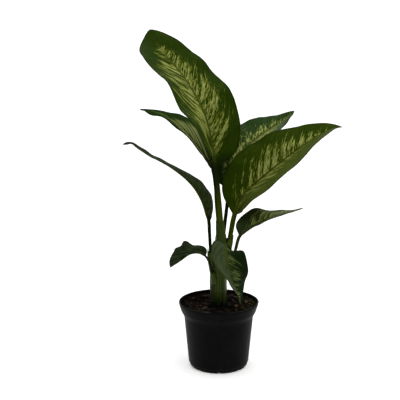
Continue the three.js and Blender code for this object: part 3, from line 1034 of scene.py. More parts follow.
        top, low, far, wide = (np.concatenate([b[:, :0:-1], a], 1) for a, b in zip(*halves))
        pairs = ((top, low), (far, far), (wide, wide))
        points, distance, wide = (np.concatenate([over, under[:, ::-1]], 1) for over, under in pairs)
        return points, distance, wide, t * np.ones_like(distance)

    def vein_place(self, length: Array, distance: Array, width: Array) -> Array:
        """Where the side vein through a point left the midrib, in millimetres from the blade's base.

        Formula: the vein turns further towards the tip as it nears the margin, so that it has gone
        f d + 0.4 w (d / w)^3 forward at a distance d in a half of width w, where f is `forward`.
        """
        far = np.abs(distance)
        return length - self.stalk_length - self.forward * far - 0.4 * width * (far / width) ** 3

    def vein_relief(self, length: Array, distance: Array, width: Array, t: Array) -> Array:
        """The upper side's relief: a groove over the midrib, and swells between the side veins.

        Args:
            length: each section's place along the curve.
            distance: signed distances from the midrib.
            width: the width of the half there.
            t: the share of the blade's length.

        Returns:
            The relief's height at each point, in millimetres.
        """
        far = np.abs(distance)
        groove = -self.groove[0] * np.exp(-((far / self.groove[1]) ** 2)) * smooth(0.02, 0.08, t)
        pulse = np.cos(2.0 * pi * self.vein_place(length, distance, width) / self.skin.vein_gap)
        fade = smooth(0.5, 4.0, far) * (1.0 - (far / width) ** 3) * smooth(0.0, 0.06, t)
        height, wave = self.pucker
        pucker = swell(length, distance, wave, int(self.skin.seed)) * smooth(2.0, 16.0, far)
        return groove - self.vein_swell * pulse * fade + height * pucker * smooth(0.0, 0.1, t)

    def surface(self) -> Surface:
        """The leaf's fine surface with the values that its skin reads.

        Returns:
            A grid of sections, evenly spaced on the stalk and closer at the blade's two ends.
        """
        rows = round((self.total - self.stalk_length) / self.row_step)
        even = np.arange(rows + 1) / rows
        share = 0.5 * (0.5 * (1.0 - np.cos(pi * np.arange(rows + 1) / rows)) + even)
        stalk = self.stalk_length * np.arange(self.stalk_rows) / self.stalk_rows
        length = np.r_[stalk, self.stalk_length + share * (self.total - self.stalk_length)]
        points, distance, width, t = self.rings(length, self.columns, relief=True)
        far, length = np.abs(distance), length[:, None]
        on_blade = length > self.stalk_length
        lower = np.arange(far.shape[1]) >= far.shape[1] // 2
        on_stalk = length - self.stalk_length - self.forward * far
        along_ = np.where(on_blade, self.vein_place(length, distance, width), on_stalk)
        chart = np.stack([along_, distance + np.where(lower & ~on_blade, 9.0, 0.0)], -1)
        rib_line = 0.35 + 0.45 * self.radii[1] * (1.0 - t) ** 0.7
        second = smooth(1.0, -1.0, distance)
        risen = smooth(0.45, 0.9, length / self.stalk_length)
        values = {
            "cream": between([steps(half, t) for half in self.cream_reach], second) - far / width,
            "flecked": between(self.flecked, second),
            # Painted sheen on each half.
            "painted_sheen": between(self.painted_sheen, second),
            "rib": far / (rib_line * np.where(lower, 1.35, 1.15)),
            "edge": width - far + np.where(on_blade, 0.0, 9.0),
            "under": np.where(lower, 1.0, 0.0),
            "blade": np.where(on_blade, t, -1.0),
            # Painted shade on the stalk, rising towards the blade and fading out over the blade's first
            # tenth.
            "painted_shade": between(self.painted_shade, risen) * smooth(0.1, 0.0, t),
            "dry": smooth(1.0 - self.dry_tip, 1.0 - 0.35 * self.dry_tip, t),
        }
        return Surface(points, cap=Cap.STRIPS, values=values, chart=chart)

    def build(self) -> None:
        """Makes the leaf, which stands for the CAD node of its name."""
        skin = self.skin.build(f"{self.name}_skin")
        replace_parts(place(f"{self.name}_grown", self.surface().mesh(self.name), skin, "leaf"), self.name)


def leaves() -> list[Leaf]:
    """The plant's eight leaves, with the places and sizes that their CAD nodes have.

    Returns:
        The leaves, from the top one down.
    """
    return [
        Leaf(
            name="leaf_top", lean=125, half_width=58, sheath=54, radii=(4.3, 4.1),
            stalk=((1, 0, 176), (2.8, 0, 200), (0.2, 3, 240), (-3.6, 8, 280)),
            midrib=((-7.5, 12, 311), (-12, 14, 350), (-22, 20, 391), (-38, 28, 422), (-54, 38, 446),
                    (-75, 52, 470), (-93, 70, 492), (-107, 92, 512)),
            faces=((-50, 5), (-62, 12), (-130, 30)), shape=(0.48, 0.65),
            fold=((24, 56), (8, 42), (-6, 34), (-20, 40), (-30, 44), (-30, 20)),
            droop=((0, 0), (0, 0), (0, 0), (0, 0), (-15, 0), (-25, -20)), wave=(1.2, 3, 0),
            cream_reach=((-0.5, 0.3, 0.46, 0.52, 0.52, 0.5, 0.44, 0.34, 0.1, -0.3, -0.8),
                         (-0.6, 0.4, 0.54, 0.56, 0.58, 0.58, 0.56, 0.46, 0.1, -0.4, -0.8)),
            flecked=(0.6, 0.0), painted_shade=(0.05, 0.9), columns=42, dry_tip=0.004,
            skin=LeafSkin(3.0, green=(0.02, 0.042, 0.0008),
                          rib=(0.058, 0.078, 0.007), vein_gap=6.0, streaky=3.0, specks=1.0,
                          blotchy=2.2, grain=(2.6, 18.0), flame=(8.0, 34.0), steep=1.8, solid=0.05,
                          pale=(0.19, 0.22, 0.034), cream=(0.33, 0.35, 0.1)),
        ),
        Leaf(
            name="leaf_back_left", lean=145, half_width=38, sheath=30, radii=(2.7, 2.4),
            stalk=((-3, 9, 176), (-0.5, 11, 205), (-4, 15, 255)),
            midrib=((-8, 22, 304), (-20, 38, 321), (-40, 64, 344), (-67, 98, 367), (-96, 130, 376),
                    (-125, 158, 378)),
            faces=((-65, 50), (-62, 55), (-70, 60)), shape=(0.5, 0.68),
            fold=((35, 50), (14, 46), (-10, 27), (-12, 26)), wave=(2, 3, 0.2),
            lobe=4, base=(0.03, 0.07),
            cream_reach=((0.3, 0.8, 0.9, 0.5, 0.0, -0.3, -0.6), (0.1, 0.5, 0.7, 0.5, 0.2, -0.1, -0.6)),
            flecked=(0.0, 0.0), painted_shade=(0.6, 0.7), forward=4.5,
            skin=LeafSkin(14.0, green=(0.018, 0.036, 0.007),
                          middle=(0.058, 0.09, 0.02), lime=(0.13, 0.17, 0.042),
                          pale=(0.24, 0.28, 0.09), cream=(0.4, 0.43, 0.17),
                          grain=(10.0, 80.0), flame=(36.0, 90.0), vein_gap=14.0, solid=0.17, streaky=2.3,
                          specks=0.4, gloss=0.0),
        ),
        Leaf(
            name="leaf_left", lean=182, half_width=34, sheath=32, radii=(2.8, 2.5),
            stalk=((-8.5, 0, 152), (-12.5, -1.5, 172), (-13.5, -2, 192), (-15, -3, 216)),
            midrib=((-16, -4, 232), (-24, -8, 262), (-41, -14, 291), (-71, -22, 318), (-106, -28, 339),
                    (-131, -30, 356), (-143, -30, 355)),
            faces=((30, 44), (60, 48), (60, 43.5)), shape=(0.5, 0.72), lobe=4,
            fold=((40, -6), (36, 2), (32, -10), (30, -14), (30, -10)), wave=(0.8, 3, 0.5), base=(0.02, 0.06),
            dry_tip=0.05, painted_shade=(0.9, 0.8), cream_reach=((-0.3, 0.0, 0.2, 0.1, -0.2),) * 2,
            skin=LeafSkin(22.0, green=(0.007, 0.016, 0.0025),
                          middle=(0.02, 0.036, 0.008), lime=(0.036, 0.056, 0.015),
                          pale=(0.05, 0.07, 0.024), cream=(0.06, 0.08, 0.03), vein_gap=4.4, dark=0.9,
                          back=(0.023, 0.036, 0.0085)),
        ),
        Leaf(
            name="leaf_back_right", lean=55, half_width=40, sheath=28, radii=(2.5, 2.3),
            stalk=((6, 8, 176), (7.5, 12, 206), (13, 26, 252)),
            midrib=((14.5, 35, 273), (18, 46, 296), (28, 56, 315), (49, 74, 336), (72, 100, 349),
                    (97, 126, 359), (114, 142, 369), (123, 150, 376)),
            faces=((-112, 30), (-108, 35), (-110, 45)), shape=(0.55, 0.8),
            fold=((20, 20), (26, 14), (46, 8), (50, 4)), wave=(2, 3, 0.7), dry_tip=0.02,
            cream_reach=((0.1, 0.5, 0.6, 0.55, 0.5, 0.3, 0.0), (0.0, 0.2, 0.2, 0.18, 0.14, 0.08, -0.2)),
            flecked=(0.9, 0.8), painted_shade=(0.85, 0.9),
            skin=LeafSkin(31.0, green=(0.019, 0.045, 0.008),
                          middle=(0.036, 0.068, 0.018), pale=(0.17, 0.2, 0.05), vein_gap=4.6,
                          streaky=2.4, specks=2.4, steep=1.6, solid=0.0),
        ),
        Leaf(
            name="leaf_right", lean=20, half_width=50, sheath=30, radii=(3.4, 3.3),
            stalk=((10, 1, 174), (14.5, 3, 190), (19, 5, 213)),
            midrib=((24, 6, 239), (37, 8, 269), (67, 14, 296), (111, 24, 330), (151, 36, 356),
                    (175, 44, 366), (190, 50, 367)),
            faces=((-114, 36), (-112, 38), (-105, 40)), shape=(0.5, 0.88),
            fold=((40, 16), (42, 28), (44, 25), (50, 5), (58, -10)), wave=(2, 3, 0), lobe=5,
            base=(0.06, 0.07),
            cream_reach=((-0.2, 0.28, 0.36, 0.34, 0.24, 0.06, -0.15, -0.45, -0.8),
                         (-0.35, 0.1, 0.22, 0.3, 0.34, 0.3, 0.2, -0.1, -0.6)), flecked=(0.35, 0.3),
            painted_sheen=(0.5, 0.0), painted_shade=(0.15, 0.0), columns=38, dry_tip=0.03,
            skin=LeafSkin(47.0, painted_sheen=(0.085, 0.11, 0.02), vein_gap=5.6, steep=1.6,
                          green=(0.027, 0.05, 0.001), blotchy=0.8, streaky=2.8, specks=1.8, striped=0.6,
                          grain=(1.8, 12.0), flame=(12.0, 60.0), tongues=1.7, tongue_gap=16.5, solid=0.06),
        ),
        Leaf(
            name="leaf_low_right", lean=5, half_width=24, sheath=20, radii=(2.3, 2.2),
            stalk=((9, -2, 148), (14.5, -3, 163), (24.5, -4, 183.5)),
            midrib=((32, -6, 209), (47, -4, 221), (68, 0, 231), (91, 6, 239.5), (112, 10, 243.5),
                    (129, 14, 248)),
            faces=((-106, 51), (-104, 54), (-100, 60)), shape=(0.45, 0.8),
            fold=((68, 30), (50, 10), (48, -25), (40, -30)), wave=(1.5, 2.5, 0.1), lobe=12,
            base=(0.05, 0.04), peak=(1, 0.44, 5, 0.1),
            cream_reach=((-0.4, -0.1, 0.2, 0.3, 0.3, 0.1, -0.1), (-0.5, 0.0, 0.45, 0.85, 0.7, 0.4, 0.2)),
            flecked=(0.3, 0.3), dry_tip=0.08, painted_shade=(0.5, 0.5),
            skin=LeafSkin(58.0, green=(0.032, 0.054, 0.013),
                          middle=(0.065, 0.095, 0.024), lime=(0.115, 0.155, 0.034),
                          pale=(0.2, 0.24, 0.06), vein_gap=4.6, striped=0.8, flame=(7.0, 20.0)),
        ),
        Leaf(
            name="leaf_front", lean=285, half_width=28, sheath=18, radii=(2.1, 2),
            stalk=((3, -6.5, 174), (4.5, -11, 189), (7.5, -22, 201)),
            midrib=((10, -36, 203), (10, -50, 199), (12, -62, 184), (17, -64, 164), (25, -58, 139),
                    (32, -50, 115)),
            faces=((-60, 50), (-70, 10), (-60, 0)), shape=(0.5, 0.9),
            fold=((10, -25), (18, 24), (64, 22), (74, -4), (66, -4)), wave=(1.5, 2.5, 0.3), lobe=8,
            base=(0.03, 0.1), peak=(1, 0.13, 5, 0.1),
            cream_reach=((-0.6, -0.6, -0.5, -0.3, -0.2, 0.0, 0.3),
                         (-0.1, 0.3, 0.45, 0.42, 0.34, 0.25, 0.15)), flecked=(0.3, 0.1), painted_sheen=(0.95, 0.03),
            skin=LeafSkin(66.0, green=(0.006, 0.0145, 0.0028),
                          middle=(0.017, 0.031, 0.005), lime=(0.043, 0.062, 0.013),
                          pale=(0.08, 0.112, 0.03), cream=(0.14, 0.17, 0.055), vein_gap=4.6,
                          striped=0.9, grain=(2.4, 14.0), flame=(7.0, 24.0)),
        ),
        Leaf(
            name="leaf_low_left", lean=195, half_width=28.5, sheath=20, radii=(1.6, 1.5),
            stalk=((-6, -8, 134), (-9.5, -9.5, 149), (-13.5, -10, 164)),
            midrib=((-21, -10, 178), (-31, -13, 184), (-44, -16, 183), (-59, -20, 173), (-74, -24, 164)),
            faces=((80, 55), (85, 50), (90, 40)), shape=(0.5, 0.6),
            fold=((45, 0), (45, 8), (45, 16), (45, 25)), wave=(1.5, 2, 0.6), lobe=0,
            base=(0.05, 0.08), peak=(1, 0.43, 9, 0.05), painted_shade=(0.8, 0.9),
            cream_reach=((-0.3, 0.0, 0.2, 0.1, -0.2),) * 2,
            skin=LeafSkin(75.0, green=(0.009, 0.017, 0.005),
                          middle=(0.024, 0.037, 0.014), lime=(0.042, 0.058, 0.027),
                          pale=(0.06, 0.078, 0.04), cream=(0.08, 0.1, 0.05), vein_gap=3.6, dark=0.9,
                          back=(0.034, 0.048, 0.021)),
        ),
    ]


@dataclass(frozen=True)
class Stem:
    """The column of rolled sheaths, and the free end of each sheath round its leaf's stalk."""

    foot: float = 56.0
    top: float = 189.0
    profile: tuple[Pair, ...] = (
        (56, 8.8), (62, 9.8), (92, 10.2), (104, 11.5), (119, 12.5), (134, 12.6), (152, 12.2), (170, 11.8),
        (181, 10.9), (187, 8.6), (189, 5))
    scars: tuple[float, ...] = (104.0, 124.0, 147.0)
    scar_widths: Pair = (1.1, 0.7)
    laps: Pair = (92.0, 130.0)
    # The height that the painted shade at the stem's foot is measured from, and the height over which it
    # fades.
    painted_shade_top: float = 94.0
    painted_shade_fade: float = 40.0
    chart_radius: float = 11.0
    sides: int = 144
    rows: int = 190
    sheath_rows: int = 48
    sheath_columns: int = 14
    sheath_sections: int = 90
    wall: float = 1.2
    mouth: float = 0.6
    tip_rise: float = 7.0
    skin: SheathSkin = SheathSkin()

    def outline(self, angle: Array, z: Array) -> Array:
        """The stem's radius.

        Formula: the profile, as a shallow three-sided wave whose crests climb round the stem, with a
        steep edge on one side of each crest where a sheath's margin laps over, and a low ring at each
        scar of a fallen leaf.

        Args:
            angle: the places' angles round the stem.
            z: their heights.

        Returns:
            The radius at each place.
        """
        radius = np.interp(z, *zip(*self.profile))
        turn = 3.0 * angle - 0.02 * z
        lap = (turn / (2.0 * pi)) % 1.0
        edge = np.exp(-lap * 7.0) * smooth(0.0, 0.02, lap)
        rise = smooth(*self.laps, z)
        share = 1.0 + 0.05 * rise * np.cos(turn) + 0.03 * np.cos(2.0 * angle + 0.4) + 0.05 * edge * rise
        return radius * share + 0.35 * self.scar_rings(angle, z, self.scar_widths[0])

    def scar_rings(self, angle: Array, z: Array, width: float) -> Array:
        """1 on the slanting ring that each fallen leaf left, and 0 away from it."""
        return sum(np.exp(-(((z - scar - 1.6 * np.cos(angle + scar)) / width) ** 2)) for scar in self.scars)

    def core(self) -> Surface:
        """The column, closed at its foot and over its top.

        Returns:
            A grid of rings with the values that the skin reads.
        """
        z, angle = np.linspace(self.foot, self.top, self.rows)[:, None], circle(self.sides)
        chart = np.stack(np.broadcast_arrays(z, angle * self.chart_radius), -1)
        # Painted shade: a broad dark band on the stem's left side and a narrow one at its front right.
        shady = np.exp(-(((angle / pi - 1.06) / 0.22) ** 2)) + np.exp(-(((angle / pi - 1.68) / 0.05) ** 2))
        ring = 0.5 * self.scar_rings(angle, z, self.scar_widths[1])
        # Painted shade at the foot: the height above where it starts, in steps of its fade.
        depth = (z - self.painted_shade_top) / self.painted_shade_fade
        values = {"lip": np.zeros(1), "ring": ring, "depth": depth, "side": 0.7 * shady}
        return Surface(turned(self.outline(angle, z), angle, z), cap=Cap.DISC, values=values, chart=chart)

    def sheath(self, leaf: Leaf) -> Surface:
        """The free end of one sheath: a thin wall round the stalk, drawn out to a tip on its outer side.

        Args:
            leaf: the leaf whose stalk it holds.

        Returns:
            A grid that runs up the outer side and back down the inner.
        """
        length = np.linspace(0.0, leaf.sheath + self.tip_rise + 2.0, self.sheath_sections)
        thickness = self.wall + (self.mouth - self.wall) * np.clip(length / leaf.sheath, 0.0, 1.0)
        walls = (CLEARANCE + thickness, CLEARANCE)
        outer, inner = (leaf.rings(length, self.sheath_columns, grow, leaf.cad_margin)[0] for grow in walls)
        count = outer.shape[1]
        place_on = np.arange(count)
        tip = np.exp(-(((place_on - 1.5 * (count // 2)) / (0.1 * count)) ** 2))
        end = leaf.sheath + self.tip_rise * tip - 1.5
        share = np.linspace(0.0, 1.0, self.sheath_rows)[:, None]
        scaled = share * end / length[-1] * (len(length) - 1)
        low = np.minimum(scaled.astype(int), len(length) - 2)
        part = (scaled - low)[..., None]
        out_wall, in_wall = (
            g[low, place_on] * (1.0 - part) + g[low + 1, place_on] * part for g in (outer, inner))
        middle_wall, keep = 0.5 * (out_wall + in_wall), 0.35 + 0.65 * smooth(1.0, 0.8, share)[..., None]
        out_wall, in_wall = (between((middle_wall, wall), keep) for wall in (out_wall, in_wall))
        points = np.concatenate([out_wall, in_wall[::-1]])
        lip = np.concatenate([share, share[::-1]]) ** 12
        chart = np.stack([points[..., 2], np.broadcast_to(place_on * 1.1, points.shape[:2])], -1)
        values = {"lip": 0.3 * lip, "ring": np.zeros(1), "depth": np.ones(1), "side": np.zeros(1)}
        return Surface(points, round_along=True, values=values, chart=chart)

    def build(self, grown: list[Leaf]) -> None:
        """Makes the core, which stands for the stem, and a sheath for each leaf.

        Args:
            grown: the leaves.
        """
        skin = self.skin.build()
        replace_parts(place("stem_core", self.core().mesh("stem_core"), skin, "stem"), "stem")
        for leaf in grown:
            name = leaf.name.replace("leaf", "sheath")
            place(name, self.sheath(leaf).mesh(name), skin, "stem")


@dataclass(frozen=True)
class Pot:
    """A thin-walled nursery pot with a flared lip, a round pad and a notched foot ring."""

    rim: float = 61.8
    bead: float = 1.4
    height: float = 103.0
    wall: float = 1.3
    lip: float = 15.0
    flare: float = 4.4
    body_top: float = 53.4
    body_bottom: float = 46.5
    corner: float = 7.5
    crease: Pair = (44.8, 3.0)
    foot: float = 42.5
    foot_width: float = 3.5
    foot_height: float = 1.4
    pad: float = 12.0
    floor: float = 1.4
    drains: int = 8
    drain_radius: float = 3.6
    drain_circle: float = 25.0
    drain_sides: int = 24
    notch: float = 5.0
    sag: float = 0.25
    sag_wave: float = 150.0
    sag_heights: Pair = (60.0, 103.0)
    sides: int = 288
    skin: NurseryPlastic = NurseryPlastic()

    def inside(self, gap: float) -> list[Pair]:
        """The inner wall, drawn in by a gap, from the floor up to the lip, as (radius, height).

        Args:
            gap: by how much it is drawn in.

        Returns:
            The points, from the floor up.
        """
        lip_foot = self.height - self.lip
        inset = self.wall + gap
        return [
            (self.crease[0] - inset - 2.7, self.foot_height + self.floor + gap),
            (self.body_bottom - inset - 1.6, self.corner - 4.2),
            (self.body_bottom - inset, self.corner),
            (self.body_top - inset, lip_foot - 3.5),
            (self.body_top - inset + 3.0, lip_foot + 0.6),
        ]

    def profile(self) -> Array:
        """The wall's whole section, from the pad's middle out, up, over the rim and back in.

        Returns:
            The section's points, as (radius, height) rows.
        """
        lip_foot = self.height - self.lip
        rim, bead, top = self.rim, self.bead, self.height
        points = [
            (0.0, 0.0), (self.pad, 0.0), (self.pad + 1.0, self.foot_height),
            (self.foot - self.foot_width - 0.6, self.foot_height), (self.foot - self.foot_width, 0.0),
            (self.foot, 0.0), (self.foot + 1.0, self.crease[1] - 1.2), self.crease,
            (self.body_bottom - 1.4, self.crease[1] + 3.0), (self.body_bottom, self.corner),
            (self.body_top, lip_foot - 8.0), (self.body_top + 1.5, lip_foot - 4.5),
            (self.body_top + self.flare, lip_foot + 0.4), (rim - 1.2, top - 6.0),
            (rim, top - bead), (rim - 0.5, top), (rim - 2.0, top), (rim - 2.6, top - bead - 0.2),
            (self.body_top + self.flare - 0.2, lip_foot + 3.0),
        ]
        points += self.inside(0.0)[::-1] + [(0.0, self.foot_height + self.floor)]
        return rounded(np.array(points), 0.28)

    def surface(self) -> Surface:
        """The wall turned round the axis, with the foot ring lifted in each notch.

        Returns:
            A grid whose rows are the section's points.
        """
        profile = self.profile()
        angle = circle(self.sides)
        radius = np.maximum(profile[:, :1], AXIS_GAP)
        z = profile[:, 1:]
        turn = (angle / (2.0 * pi) * self.drains + 0.5) % 1.0 - 0.5
        off = np.abs(turn) * 2.0 * pi / self.drains * self.foot
        notch = smooth(self.notch / 2.0 + 0.3, self.notch / 2.0 - 0.3, off)
        ring = (radius > self.foot - self.foot_width - 0.7) & (z < self.foot_height)
        z = np.where(ring, z + (self.foot_height - z) * notch, z)
        uneven = swell(angle * 60.0, 0.0 * angle, self.sag_wave, 5) * smooth(*self.sag_heights, z)
        sag = np.where(radius > 40.0, self.sag * uneven, 0.0)
        return Surface(turned(radius + sag, angle, z), cap=Cap.DISC)

    def cutters(self) -> Piece:
        """The pins that the drain holes are cut with, joined in one mesh.

        Returns:
            The object, which is removed once the holes are cut.
        """
        ends = np.array([[self.foot_height - 2.0], [self.foot_height + self.floor + 2.0]])
        pin = turned(self.drain_radius, circle(self.drain_sides), ends)
        turns = 2.0 * pi * (np.arange(self.drains) + 0.5) / self.drains
        pins = [pin + turned(self.drain_circle, turn, 0.0) for turn in turns]
        return stand("drain_pins", strewn_mesh("drain_pins", pins))

    def build(self) -> None:
        """Turns the wall, drills the drain holes, and gives it the black plastic."""
        pins = self.cutters()
        piece = place("pot_moulded", self.surface().mesh("pot_wall"), self.skin.build(), "pot")
        drill = piece.modifiers.new("drains", "BOOLEAN")
        drill.object, drill.operation, drill.solver = pins, "DIFFERENCE", "EXACT"
        bpy.context.view_layer.update()
        cut = bpy.data.meshes.new_from_object(piece.evaluated_get(bpy.context.evaluated_depsgraph_get()))
        piece.modifiers.clear()
        piece.data = cut
        bpy.data.objects.remove(pins)
        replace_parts(piece, "pot")


def rounded(points: Array, cut: float) -> Array:
    """A section with its corners rounded.

    Formula: each corner gives way to five points of the parabola that is tangent to both of its edges,
    from `cut` of the shorter edge, and at most 0.9 mm, on either side.

    Args:
        points: the section's corners.
        cut: the share of an edge that a corner may take.

    Returns:
        The rounded section, with the same first and last point.
    """
    result = [points[0]]
    for before, here, after in zip(points[:-2], points[1:-1], points[2:]):
        to_before, to_after = before - here, after - here
        room = min(0.9, cut * min(np.linalg.norm(to_before), np.linalg.norm(to_after)))
        a = here + unit(to_before) * room
        b = here + unit(to_after) * room
        t = np.linspace(0.0, 1.0, 5)[:, None]
        result += list((1 - t) ** 2 * a + 2.0 * t * (1 - t) * here + t**2 * b)
    return np.array(result + [points[-1]])


@dataclass(frozen=True)
class Soil:
    """The plug of potting soil with its crumbly top, and the bark and fibre that lie in it."""

    middle_height: float = 94.6
    rim_rise: float = 3.8
    mound: float = 1.5
    mound_radius: float = 22.0
    grains: tuple[Pair, ...] = ((6.0, 0.5), (3.0, 0.32), (1.5, 0.18))
    grain_height: float = 3.0
    grain_sink: float = 1.1
    edge_rings: int = 96
    sides: int = 420
    chips: int = 150
    laid: tuple[tuple[float, float, float, float], ...] = (
        (-37, 27, 3.6, 0.86), (-30, 20, 2.4, 0.82), (-21, -13, 2.4, 0.97), (-42, 8, 2.8, 0.8),
        (-26, -4, 2.0, 0.94))
    fibres: int = 46
    chip_reach: float = 49.5
    fibre_reach: float = 46.0
    clear_reach: float = 54.0
    neck: float = 88.0
    seed: int = 11
    skin: PottingSoil = PottingSoil()
    bark: Bark = Bark()

    def height(self, x: Array, y: Array) -> tuple[Array, Array]:
        """The top's height, and how high a point stands among the crumbs, from 0 to 1.

        Formula: the CAD's mound, lumps and heap against the lip, with crumbs of 6, 3 and 1.5 mm on them.

        Args:
            x: first coordinate of each place.
            y: second coordinate.

        Returns:
            The two heights at each place.
        """
        radius, angle = np.hypot(x, y), np.arctan2(y, x)
        base = self.mound * np.exp(-((radius / self.mound_radius) ** 2))
        lumps = 1.1 * np.sin(radius * 0.31 + 2.0 * angle) * np.cos(3.0 * angle - radius * 0.17)
        lumps = lumps + 0.6 * np.sin(7.0 * angle + radius * 0.6)
        crumb = sum(share * crumbs(x, y, cell, seed) for seed, (cell, share) in enumerate(self.grains, 1))
        base = base + 0.8 * lumps * smooth(4.0, 16.0, radius) + self.rim_rise * smooth(30.0, 54.0, radius)
        return self.middle_height + base + self.grain_height * crumb - self.grain_sink, crumb

    def surface(self, pot: Pot, stem: Stem) -> Surface:
        """The plug: under the floor, up the pot's wall, over the top and down round the stem.

        Args:
            pot: the pot that holds it.
            stem: the stem that stands in it.

        Returns:
            A grid of rings, from the underside's middle to the foot of the stem's hole.
        """
        angle = circle(self.sides)[None, :]
        lip = pot.body_top + pot.flare - 0.55
        wall = pot.inside(CLEARANCE) + [(lip, pot.height - pot.lip + 3.5)]
        hole = stem.outline(angle, np.full_like(angle, 95.0)) + 0.15
        top_radius = between((lip + 0.5, hole), np.linspace(0.0, 1.0, self.edge_rings)[:, None])
        top, crumb = self.height(top_radius * np.cos(angle), top_radius * np.sin(angle))
        low, level = stem.foot - CLEARANCE, np.zeros_like(angle)
        rings = [(AXIS_GAP, wall[0][1], 0.0)] + [(radius, z, 0.0) for radius, z in wall]
        rings += [(top_radius, top, crumb), (hole, self.neck, 0.0), (hole, low, 0.0), (AXIS_GAP, low, 0.0)]
        radius, z, height = (np.concatenate([level + part for part in parts]) for parts in zip(*rings))
        return Surface(turned(radius, angle, z), cap=Cap.DISC, values={"height": height})

    def chip_mesh(self) -> Mesh:
        """Bark chips: flat, uneven lozenges of many sizes, lying tipped and half sunk at random.

        Returns:
            The mesh.
        """
        draw = np.random.default_rng(self.seed)
        around = np.linspace(0.0, 2.0 * pi, 10, endpoint=False)
        levels = np.array([-1.0, -0.75, 0.1, 0.8, 1.0])
        spread = np.array([0.55, 0.95, 1.0, 0.8, 0.45])
        bodies, tints = [], []
        for k in range(self.chips):
            turn = draw.uniform(0.0, 2.0 * pi)
            radius = np.sqrt(draw.uniform(0.08, 1.0)) * self.chip_reach
            size = draw.uniform(0.9, 2.6) if draw.uniform() < 0.8 else draw.uniform(2.6, 4.6)
            grain = 1.0 + 0.28 * draw.standard_normal((len(levels), len(around))).clip(-1.5, 1.5)
            long = size * draw.uniform(1.1, 2.3)
            radius = min(radius, self.clear_reach - 1.3 * long)
            flat = size * draw.uniform(0.25, 0.5)
            ring = spread[:, None] * grain
            local = np.stack([
                long * ring * np.cos(around), size * ring * np.sin(around),
                flat * levels[:, None] * (1.0 + 0.3 * draw.standard_normal(grain.shape).clip(-1, 1)),
            ], -1)
            heading = draw.uniform(0.0, 2.0 * pi)
            local = local @ tilted(heading, draw.normal(0.0, 0.28), draw.normal(0.0, 0.22))
            x, y, tint = radius * cos(turn), radius * sin(turn), draw.uniform() ** 1.4
            if k < len(self.laid):
                x, y, wanted, tint = self.laid[k]
                local, flat = local * wanted / size, flat * wanted / size
            z, _ = self.height(np.array([x]), np.array([y]))
            bodies.append(local + np.array([x, y, z[0] + 0.15 * flat]))
            tints.append(tint)
        return strewn_mesh("bark_chips", bodies, tints)

    def fibre_mesh(self) -> Mesh:
        """Fibres and fine roots: thin bent strands that lie on the crumbs.

        Returns:
            The mesh.
        """
        draw = np.random.default_rng(self.seed + 1)
        around = np.linspace(0.0, 2.0 * pi, 5, endpoint=False)
        along_ = np.linspace(-1.0, 1.0, 9)
        bodies, tints = [], []
        for _ in range(self.fibres):
            turn, heading = draw.uniform(0.0, 2.0 * pi, 2)
            radius = np.sqrt(draw.uniform(0.1, 1.0)) * self.fibre_reach
            long, curl = draw.uniform(2.5, 7.5), draw.uniform(-2.5, 2.5)
            x = radius * cos(turn) + long * along_ * cos(heading) - curl * along_**2 * sin(heading)
            y = radius * sin(turn) + long * along_ * sin(heading) + curl * along_**2 * cos(heading)
            z = self.height(x, y)[0]
            z = np.maximum(z, z.mean()) + 0.1 + 0.5 * draw.uniform() * (1.0 - along_**2)
            thick = draw.uniform(0.12, 0.34) * (1.0 - 0.75 * along_**4)
            sideways = np.array([-sin(heading), cos(heading), 0.0])
            spokes = np.cos(around)[:, None] * sideways + np.sin(around)[:, None] * np.array([0.0, 0.0, 1.0])
            bodies.append(np.stack([x, y, z], -1)[:, None] + thick[:, None, None] * spokes)
            tints.append(draw.uniform(0.5, 1.0))
        return strewn_mesh("soil_fibres", bodies, tints)

    def build(self, pot: Pot, stem: Stem) -> None:
        """Makes the plug, which stands for the soil, and what lies in its top.

        Args:
            pot: the pot that holds it.
            stem: the stem that stands in it.
        """
        plug = self.surface(pot, stem).mesh("soil_plug")
        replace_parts(place("soil_plug", plug, self.skin.build(), "soil"), "soil")
        bark = self.bark.build()
        for mesh in (self.chip_mesh(), self.fibre_mesh()):
            place(mesh.name, mesh, bark, "soil")


def tilted(turn: float, pitch: float, roll: float) -> Array:
    """The matrix that rolls about X, pitches about Y and turns about Z, for rows times it.

    Args:
        turn: the angle about Z, in radians.
        pitch: the angle about Y.
        roll: the angle about X.

    Returns:
        The 3 x 3 matrix.
    """
    about_x = np.array([[1, 0, 0], [0, cos(roll), sin(roll)], [0, -sin(roll), cos(roll)]])
    about_y = np.array([[cos(pitch), 0, -sin(pitch)], [0, 1, 0], [sin(pitch), 0, cos(pitch)]])
    about_z = np.array([[cos(turn), sin(turn), 0], [-sin(turn), cos(turn), 0], [0, 0, 1]])
    return about_x @ about_y @ about_z


@dataclass(frozen=True)
class Lamp:
    """A soft square lamp that looks at the plant's middle."""

    name: str
    place: Point
    size: float
    power: float
    colour: Colour = (1.0, 1.0, 1.0)
    aim: Point = (0.0, 0.0, 0.25)

    def build(self) -> None:
        """Hangs the lamp and turns it to its aim."""
        data = bpy.data.lights.new(self.name, "AREA")
        data.energy, data.size, data.color = self.power, self.size, self.colour
        lamp = stand(self.name, data)
        lamp.location = self.place
        lamp.rotation_euler = (Vector(self.aim) - Vector(self.place)).to_track_quat("-Z", "Y").to_euler()


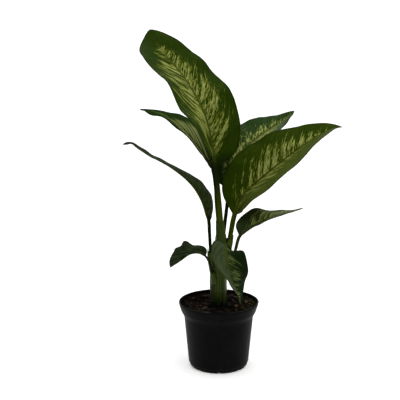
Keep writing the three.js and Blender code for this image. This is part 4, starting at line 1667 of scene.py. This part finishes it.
@dataclass(frozen=True)
class Studio:
    """The pale floor, the soft light and the camera at the photograph's viewing angle."""

    floor_half: float = 20000.0
    camera_place: Point = (-0.029, -1.8, 0.690)
    camera_pitch: float = 76.67
    lens: float = 109.8
    film: float = 36.0
    dim: float = 0.06
    bright: float = 1.9
    back_share: float = 0.35
    lamp: Lamp = Lamp("key", (0.7, -1.0, 1.9), 1.0, 8.0, (1.0, 0.98, 0.93))

    def world(self) -> None:
        """Light from all round: bright overhead, paler behind the plant, and dark low down in front.

        Formula: the strength rises smoothly from `dim` to `bright` with the direction's height plus
        `back_share` of how far it points backwards.
        """
        world = bpy.data.worlds.new("studio_light")
        bpy.context.scene.world = world
        n = Nodes(world)
        across = n.split(n.node("ShaderNodeTexCoord").outputs["Generated"])
        risen = n.rise(n.total((across[2], 1.0), (across[1], self.back_share)), 0.0, 0.95)
        strength = n.line(risen, self.bright - self.dim, self.dim)
        n.feed(n.node("ShaderNodeOutputWorld").inputs[0], n.fed("ShaderNodeBackground", Strength=strength))

    def floor(self) -> None:
        """One large pale square at the height that the pot stands on."""
        corners = self.floor_half * np.array([(-1, -1, 0), (1, -1, 0), (1, 1, 0), (-1, 1, 0)])
        mesh = new_mesh("floor", corners, [[0, 1, 2, 3]], False)
        mesh.materials.append(StudioFloor().build())
        stand("floor", mesh)

    def camera(self) -> None:
        """A long lens, a little above the plant, that looks slightly down on it."""
        data = bpy.data.cameras.new("camera")
        data.lens, data.sensor_width = self.lens, self.film
        camera = stand("camera", data)
        camera.location = self.camera_place
        camera.rotation_euler = (radians(self.camera_pitch), 0.0, 0.0)
        bpy.context.scene.camera = camera

    def build(self) -> None:
        """Sets up the studio."""
        self.camera()
        self.world()
        self.floor()
        self.lamp.build()
        bpy.context.scene.view_settings.view_transform = "Standard"


def main() -> None:
    """Builds the studio, the pot, the soil, the stem and the leaves, in that order."""
    logging.basicConfig(level=logging.INFO, format="%(message)s")
    Studio().build()
    pot, stem, soil = Pot(), Stem(), Soil()
    grown = leaves()
    pot.build()
    soil.build(pot, stem)
    stem.build(grown)
    for leaf in grown:
        leaf.build()


if __name__ == "__main__":
    main()
